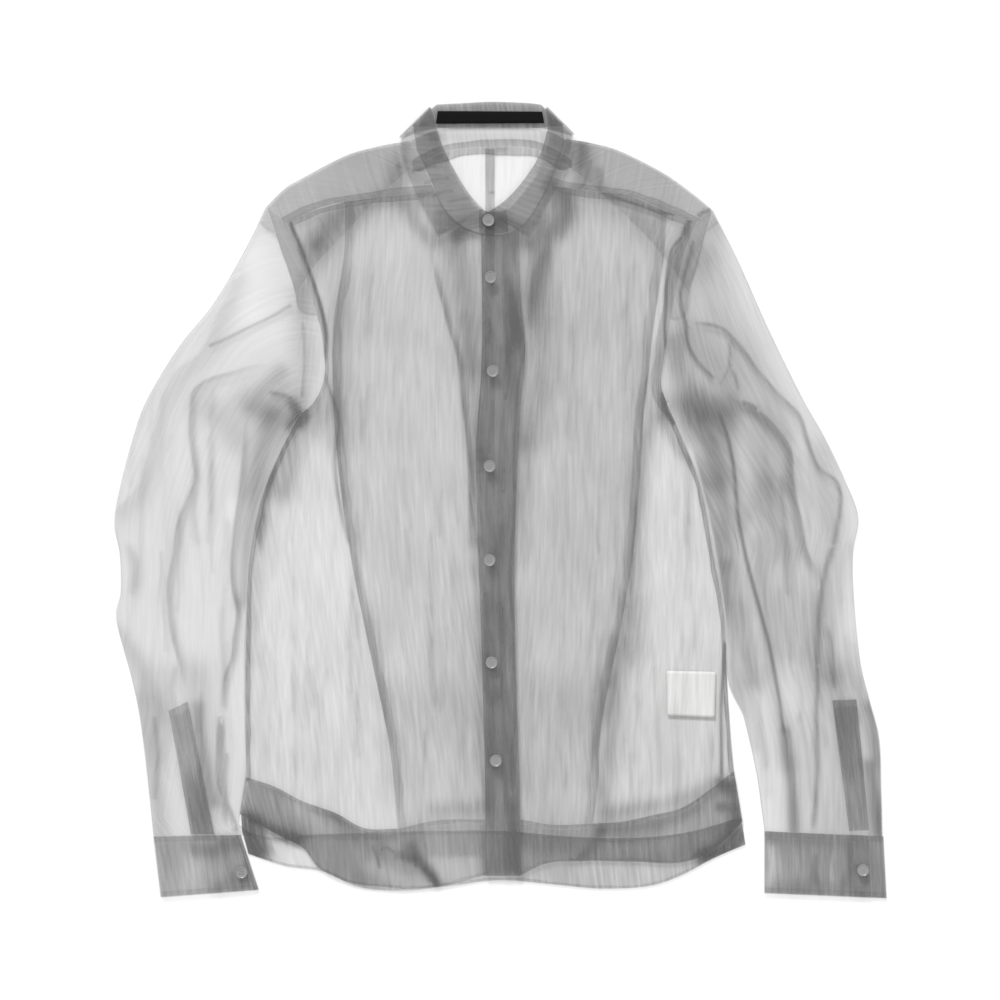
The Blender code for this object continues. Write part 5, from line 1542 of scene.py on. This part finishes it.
# %% The collar
STAND_TURN_HIGH = FOLD_MIDDLE + STAND_TURN
STAND_TURN_LOW = FOLD_MIDDLE - STAND_TURN
LEAF_HIGH = FOLD_MIDDLE + LEAF_TURN
LEAF_LOW = FOLD_MIDDLE - LEAF_TURN
UNDER_END = FRONT + MIDDLE_OF_WALL + 0.7
COLLAR_FRONT_RIGHT = [
    (6, 276, 8, 254, None, None, UNDER_END, LEAF_HIGH),
    (-14, 275, -18, 252, -59, 250, UNDER_END, LEAF_HIGH),
    (-29, 291, -50, 270, -76, 281, STAND_TURN_HIGH - 0.4, LEAF_HIGH),
    (-46, 319, -67, 308, -90, 314, STAND_TURN_HIGH, LEAF_HIGH),
    (-57, 343, -79, 333, -95, 333, STAND_TURN_HIGH, LEAF_HIGH),
]
COLLAR_FOLD_RIGHT = [(-67, 374), (-84, 357), (-96, 345)]
COLLAR_BACK = [
    (-60, 376.4, -68, 355.5, -80, 349, STAND_TURN_LOW, LEAF_LOW),
    (-40, 377.5, -50, 354, -60, 353, STAND_TURN_LOW, LEAF_LOW),
    (-8, 379, -10, 354.5, -12, 353.5, STAND_TURN_LOW, LEAF_LOW),
    (24, 378, 32, 354, 36, 353, STAND_TURN_LOW, LEAF_LOW),
    (39, 376.4, 47, 355.5, 54, 350.5, STAND_TURN_LOW, LEAF_LOW),
]
COLLAR_FOLD_LEFT = [(45, 374), (61, 358), (71, 348)]
COLLAR_FRONT_LEFT = [
    (45, 352, 61, 340, 68, 335, STAND_TURN_HIGH, LEAF_HIGH),
    (38, 329, 53, 314, 62, 312, STAND_TURN_HIGH, LEAF_HIGH),
    (23, 305, 40, 286, 50, 289, STAND_TURN_HIGH, LEAF_HIGH),
    (6, 286, 24, 261, 39, 267, STAND_TURN_HIGH, LEAF_HIGH),
    (-10, 275, -4, 253, 28, 248, STAND_TURN_HIGH, LEAF_HIGH),
    (-20, 277, -20, 253, None, None, STAND_TURN_HIGH, LEAF_HIGH),
]
COLLAR_FINE = 14
BEND_STEPS = 14


def collar_lines(end, turn):
    """Both long edges of the stand or the leaf, from the right front round to the left."""
    first, height = (2, 6) if end == "neck" else (4, 7)

    def run(rows):
        rows = [row for row in rows if row[first] is not None]
        count = COLLAR_FINE * (len(rows) - 1) + 1
        ends = [[(row[0], row[1], row[height]) for row in rows],
                [(row[first], row[first + 1], row[height]) for row in rows]]
        return [smooth(points, count, even=False) for points in ends]

    def bend(line, start, stop, mirror):
        roll, far = np.array(line[0], float), np.array(line[2], float)
        low = far if end == "free" else np.array(line[1], float)
        along = unit(far - roll)
        outward = np.array([along[1], -along[0]]) * mirror
        nested = LEAF_TURN - turn
        return [
            np.array(turned(point - outward * nested, outward, turn, FOLD_MIDDLE, start, stop, BEND_STEPS))
            for point in (roll, low)
        ]

    runs = [
        run(COLLAR_FRONT_RIGHT),
        bend(COLLAR_FOLD_RIGHT, 90, -90, 1),
        run(COLLAR_BACK),
        bend(COLLAR_FOLD_LEFT, -90, 90, -1),
        run(COLLAR_FRONT_LEFT),
    ]
    return [np.concatenate([part[k] for part in runs]) for k in range(2)]


collar_grids = {}
for key, end, turn, steps in (("stand", "neck", STAND_TURN, 16), ("leaf", "free", LEAF_TURN, 32)):
    roll, low = collar_lines(end, turn)
    reach = np.linspace(0, 1, steps + 1)[:, None, None]
    collar_grids[key] = roll[None] + (low - roll)[None] * reach


def collar_facts(points, base, edge_plies_or_painted_highlight, edge_width, folds=()):
    """Plies along the free edge and the two ends: more where the stand is turned in, and fewer on the leaf,
    a painted highlight along its rolled edges.
    """
    facts = plies_at(points, base, folds=folds)
    rows, columns = points.shape[:2]
    steps_down = np.linalg.norm(np.diff(points, axis=0), axis=2)
    steps_along = np.linalg.norm(np.diff(points, axis=1), axis=2)
    down = np.concatenate([np.zeros((1, columns)), np.cumsum(steps_down, axis=0)])
    along = np.concatenate([np.zeros((rows, 1)), np.cumsum(steps_along, axis=1)], axis=1)
    nearest = np.minimum(down[-1:] - down, np.minimum(along, along[:, -1:] - along))
    facts["band"] = nearest / edge_width
    facts["plies"] = np.full((rows, columns), edge_plies_or_painted_highlight)
    return facts


stand_points, leaf_points = collar_grids["stand"], collar_grids["leaf"]
stand_facts = collar_facts(stand_points, 4.2, 0.3, 3.0, STAND_LEAF_SHADOW)
# The leaf's edges get three plies fewer than its open cloth: a painted highlight along its rolled edges.
leaf_facts = collar_facts(leaf_points, 4.1, -3.0, 1.4, COLLAR_FOLDS)
collar_stand = gauze_piece(
    "Collar_stand", stand_points, stand_facts, "collar_stand", faced_gauze
)
collar = gauze_piece("Collar_leaf", leaf_points, leaf_facts, "collar", faced_gauze)
print("collar faces:", len(collar_stand.data.polygons), len(collar.data.polygons))

# %% [markdown]
# The two labels are plain satin with nothing on them. The buttons are small resin discs: a
# circle is drawn out ring by ring over the rim and down to the underside, and the middle is
# filled round four small circles, which are drawn down to make the holes.

# %% Labels and buttons
label_black = new_material(
    "black_satin_label", "#0a0a0b", {"Roughness": 0.8, "Specular IOR Level": 0.15}
)
label_white = new_material("white_satin_label", "#eeeeec", {"Roughness": 0.5})
resin = new_material(
    "grey_resin",
    "#8e8e8e",
    {"Roughness": 0.3, "Subsurface Weight": 0.1, "Subsurface Scale": 0.5 * MM},
)

NECK_LABEL = [(-59, 370), (40, 369.5), (42, 358.5), (-61, 358)]
CARE_LABEL = [(158, -161), (205, -162), (204, -206), (159, -204)]
LABEL_THICKNESS = 0.4
neck_label_points = raised(four_sided(NECK_LABEL, 40, 6), FRONT + MIDDLE_OF_WALL)
care_label_points = raised(four_sided(CARE_LABEL, 16, 14), LEVEL + MIDDLE_OF_WALL)
labels = []
for name, points, finish, node, slot in (
    ("Neck_label", neck_label_points, label_black, "neck_label", "label_black"),
    ("Care_label", care_label_points, label_white, "care_label", "label_white"),
):
    piece = cloth_mesh(name, points, 1.0)
    thickened(piece, LABEL_THICKNESS)
    labels.append(dressed(piece, node, finish))

STAND_BUTTON = (-11, 266)
PLACKET_BUTTONS = [(-9, 212), (-7, 123), (-10, 33), (-10, -56), (-8, -153), (-4, -246)]
CUFF_BUTTON_RIGHT = (-245, -352)
CUFF_BUTTON_LEFT = (344, -350)
HOLE_RADIUS = 0.75
HOLE_PLACE = 1.35
HOLE_BOTTOM = 0.5
HOLE_STEPS = 12
BUTTON_PROFILE = [
    (4.1, 1.35), (4.5, 1.75), (5.0, 2.0), (5.4, 1.9), (5.7, 1.4), (5.7, 0.7), (5.0, 0.1), (3.0, 0.0),
]
BUTTON_STEPS = 40
SHARP_ANGLE = 40


def add_button(name, place, height, node):
    """A disc with a raised rim and four round holes."""
    inner_radius, top = (value * MM for value in BUTTON_PROFILE[0])
    bm = bmesh.new()
    disc = bmesh.ops.create_circle(bm, cap_ends=False, segments=BUTTON_STEPS, radius=inner_radius)
    for vertex in disc["verts"]:
        vertex.co.z = top
    inner_edges = list(bm.edges)
    edges = inner_edges
    for radius, level in BUTTON_PROFILE[1:]:
        made = bmesh.ops.extrude_edge_only(bm, edges=edges)["geom"]
        ring = [item for item in made if isinstance(item, bmesh.types.BMVert)]
        edges = [item for item in made if isinstance(item, bmesh.types.BMEdge)
                 and all(v in set(ring) for v in item.verts)]
        for vertex in ring:
            flat = Vector((vertex.co.x, vertex.co.y, 0)).normalized() * radius * MM
            vertex.co = (flat.x, flat.y, level * MM)
    bmesh.ops.contextual_create(bm, geom=edges)
    for x_way, y_way in ((1, 1), (-1, 1), (-1, -1), (1, -1)):
        hole = bmesh.ops.create_circle(bm, segments=HOLE_STEPS, radius=HOLE_RADIUS * MM)
        centre = Vector((x_way * HOLE_PLACE * MM, y_way * HOLE_PLACE * MM, top))
        bmesh.ops.translate(bm, verts=hole["verts"], vec=centre)
        rim = list({edge for vertex in hole["verts"] for edge in vertex.link_edges})
        inner_edges += rim
        low = bmesh.ops.extrude_edge_only(bm, edges=rim)["geom"]
        ring = [item for item in low if isinstance(item, bmesh.types.BMVert)]
        for vertex in ring:
            vertex.co.z = HOLE_BOTTOM * MM
        bmesh.ops.contextual_create(bm, geom=ring)
    bmesh.ops.triangle_fill(bm, use_beauty=True, use_dissolve=False, edges=inner_edges)
    bmesh.ops.recalc_face_normals(bm, faces=bm.faces)
    bmesh.ops.translate(bm, verts=bm.verts, vec=Vector((place[0], place[1], height)) * MM)
    piece = placed(name, mesh_from(name, bm))
    piece.data.shade_smooth()
    piece.data.set_sharp_from_angle(angle=math.radians(SHARP_ANGLE))
    return dressed(piece, node, resin)


PLACKET_TOP = FRONT + 3 * LEVEL
add_button("Button_stand", STAND_BUTTON, STAND_TURN_HIGH + LEVEL - MIDDLE_OF_WALL, "button_stand")
for number, place in enumerate(PLACKET_BUTTONS, start=1):
    add_button(f"Button_front_{number}", place, PLACKET_TOP, f"button_front_{number}")
add_button("Button_cuff_right", CUFF_BUTTON_RIGHT, CUFF_HIGH_END + LEVEL, "button_cuff_right")
add_button("Button_cuff_left", CUFF_BUTTON_LEFT, CUFF_HIGH_END + LEVEL, "button_cuff_left")
print("buttons:", 3 + len(PLACKET_BUTTONS))

# %% [markdown]
# The size that every sheet was cut to before it was sewn is printed. The width and length are
# those of the panel laid out flat, and the area is measured over its faces.

# %% Cut sizes
def cut_of(points):
    """Width and length in metres of the rectangle that a panel is cut from, and the panel's area."""
    across = np.linalg.norm(np.diff(points, axis=1), axis=2).sum(axis=1).max()
    down = np.linalg.norm(np.diff(points, axis=0), axis=2).sum(axis=0).max()
    return (across * MM, down * MM), plan_area(points)


sheets = [
    (back, back_points, []),
    (centre_band, centre_points, ["Back"]),
    (back_hem_facing, hem_points, ["Back"]),
    (yoke, yoke_points, []),
    (fronts[0], right_points, ["Front_facing_right", "Back"]),
    (fronts[1], left_points, ["Front_facing_left", "Front_right"]),
    (placket, placket_points, ["Front_left"]),
    (sleeve_right, sleeve_right_points, []),
    (sleeve_left, sleeve_left_points, []),
    (cuff_right, cuff_right_points, []),
    (cuff_left, cuff_left_points, []),
    (collar_stand, stand_points, ["Yoke"]),
    (collar, leaf_points, ["Yoke"]),
    (labels[0], neck_label_points, ["Collar_stand"]),
    (labels[1], care_label_points, ["Back"]),
]
sheets += [(piece, points, ["Back"]) for piece, points in facing_pieces]
sheets += [(piece, points, ["Back_hem_facing"]) for piece, points in hem_pieces]
sheets += [(piece, points, [on]) for piece, points, on in slit_pieces]
for piece, points, on in sheets:
    declared(piece, *cut_of(points), on)
print("sheets declared:", len(sheets))

# %% [markdown]
# The photograph was taken straight from above on a white table. The camera stands at the height
# at which one pixel is 0.95 mm, a pale floor carries the soft shadows, and the light is broad and
# even. Light has to pass many plies, so the renderer may follow it through many clear surfaces.

# %% Table, light and camera
PIXEL_MM = 0.95
LENS = 85.0
SENSOR = 36.0
FLOOR_SIDE = 20.0
FLOOR_DROP = 0.0002
SKY_STRENGTH = 0.62
SOFTBOX_PLACE = (1.2, -0.6, 3.4)
SOFTBOX_SIDE = 2.6
SOFTBOX_POWER = 26
KEY_FROM = (-0.25, 0.82, 0.57)
KEY_POWER = 2.5
KEY_ANGLE = 14
CAMERA_Y = 0.001
CLEAR_SURFACES = 64

white_table = new_material(
    "white_table", "#f2f2f2", {"Roughness": 0.9, "Specular IOR Level": 0.1}
)
bm = bmesh.new()
bmesh.ops.create_grid(bm, x_segments=1, y_segments=1, size=FLOOR_SIDE / 2)
bmesh.ops.translate(bm, verts=bm.verts, vec=(0, 0, -FLOOR_DROP))
floor = placed("Table", mesh_from("Table", bm))
floor.data.materials.append(white_table)

world = bpy.data.worlds.new("Studio")
world.use_nodes = True
background = world.node_tree.nodes["Background"]
background.inputs["Color"].default_value = (1, 1, 1, 1)
background.inputs["Strength"].default_value = SKY_STRENGTH
bpy.context.scene.world = world


def light(name, kind, power, place):
    """A lamp that shines from a place toward the middle of the table. Its data is returned."""
    data = bpy.data.lights.new(name, kind)
    data.energy = power
    turn = (-Vector(place)).to_track_quat("-Z", "Y").to_matrix().to_4x4()
    where = Matrix.Identity(4) if kind == "SUN" else Matrix.Translation(place)
    placed(name, data).matrix_world = where @ turn
    return data


softbox = light("Softbox", "AREA", SOFTBOX_POWER, SOFTBOX_PLACE)
softbox.shape = "SQUARE"
softbox.size = SOFTBOX_SIDE
light("Key", "SUN", KEY_POWER, KEY_FROM).angle = math.radians(KEY_ANGLE)

camera_data = bpy.data.cameras.new("Camera")
camera_data.lens = LENS
camera_data.sensor_width = SENSOR
camera = placed("Camera", camera_data)
camera.location = (0.0, CAMERA_Y, PIXEL_MM * LENS / SENSOR)
bpy.context.scene.camera = camera
bpy.context.scene.view_settings.view_transform = "Standard"
cycles = bpy.context.scene.cycles
cycles.transparent_max_bounces = CLEAR_SURFACES
cycles.max_bounces = 3
cycles.diffuse_bounces = 2
print("camera height, m:", round(camera.location.z, 3))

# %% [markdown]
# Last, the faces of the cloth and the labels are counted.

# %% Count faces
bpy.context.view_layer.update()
faces = sum(len(piece.data.polygons) for piece in cloth_pieces)
print("triangles in cloth and labels, without thickness:", 2 * faces)
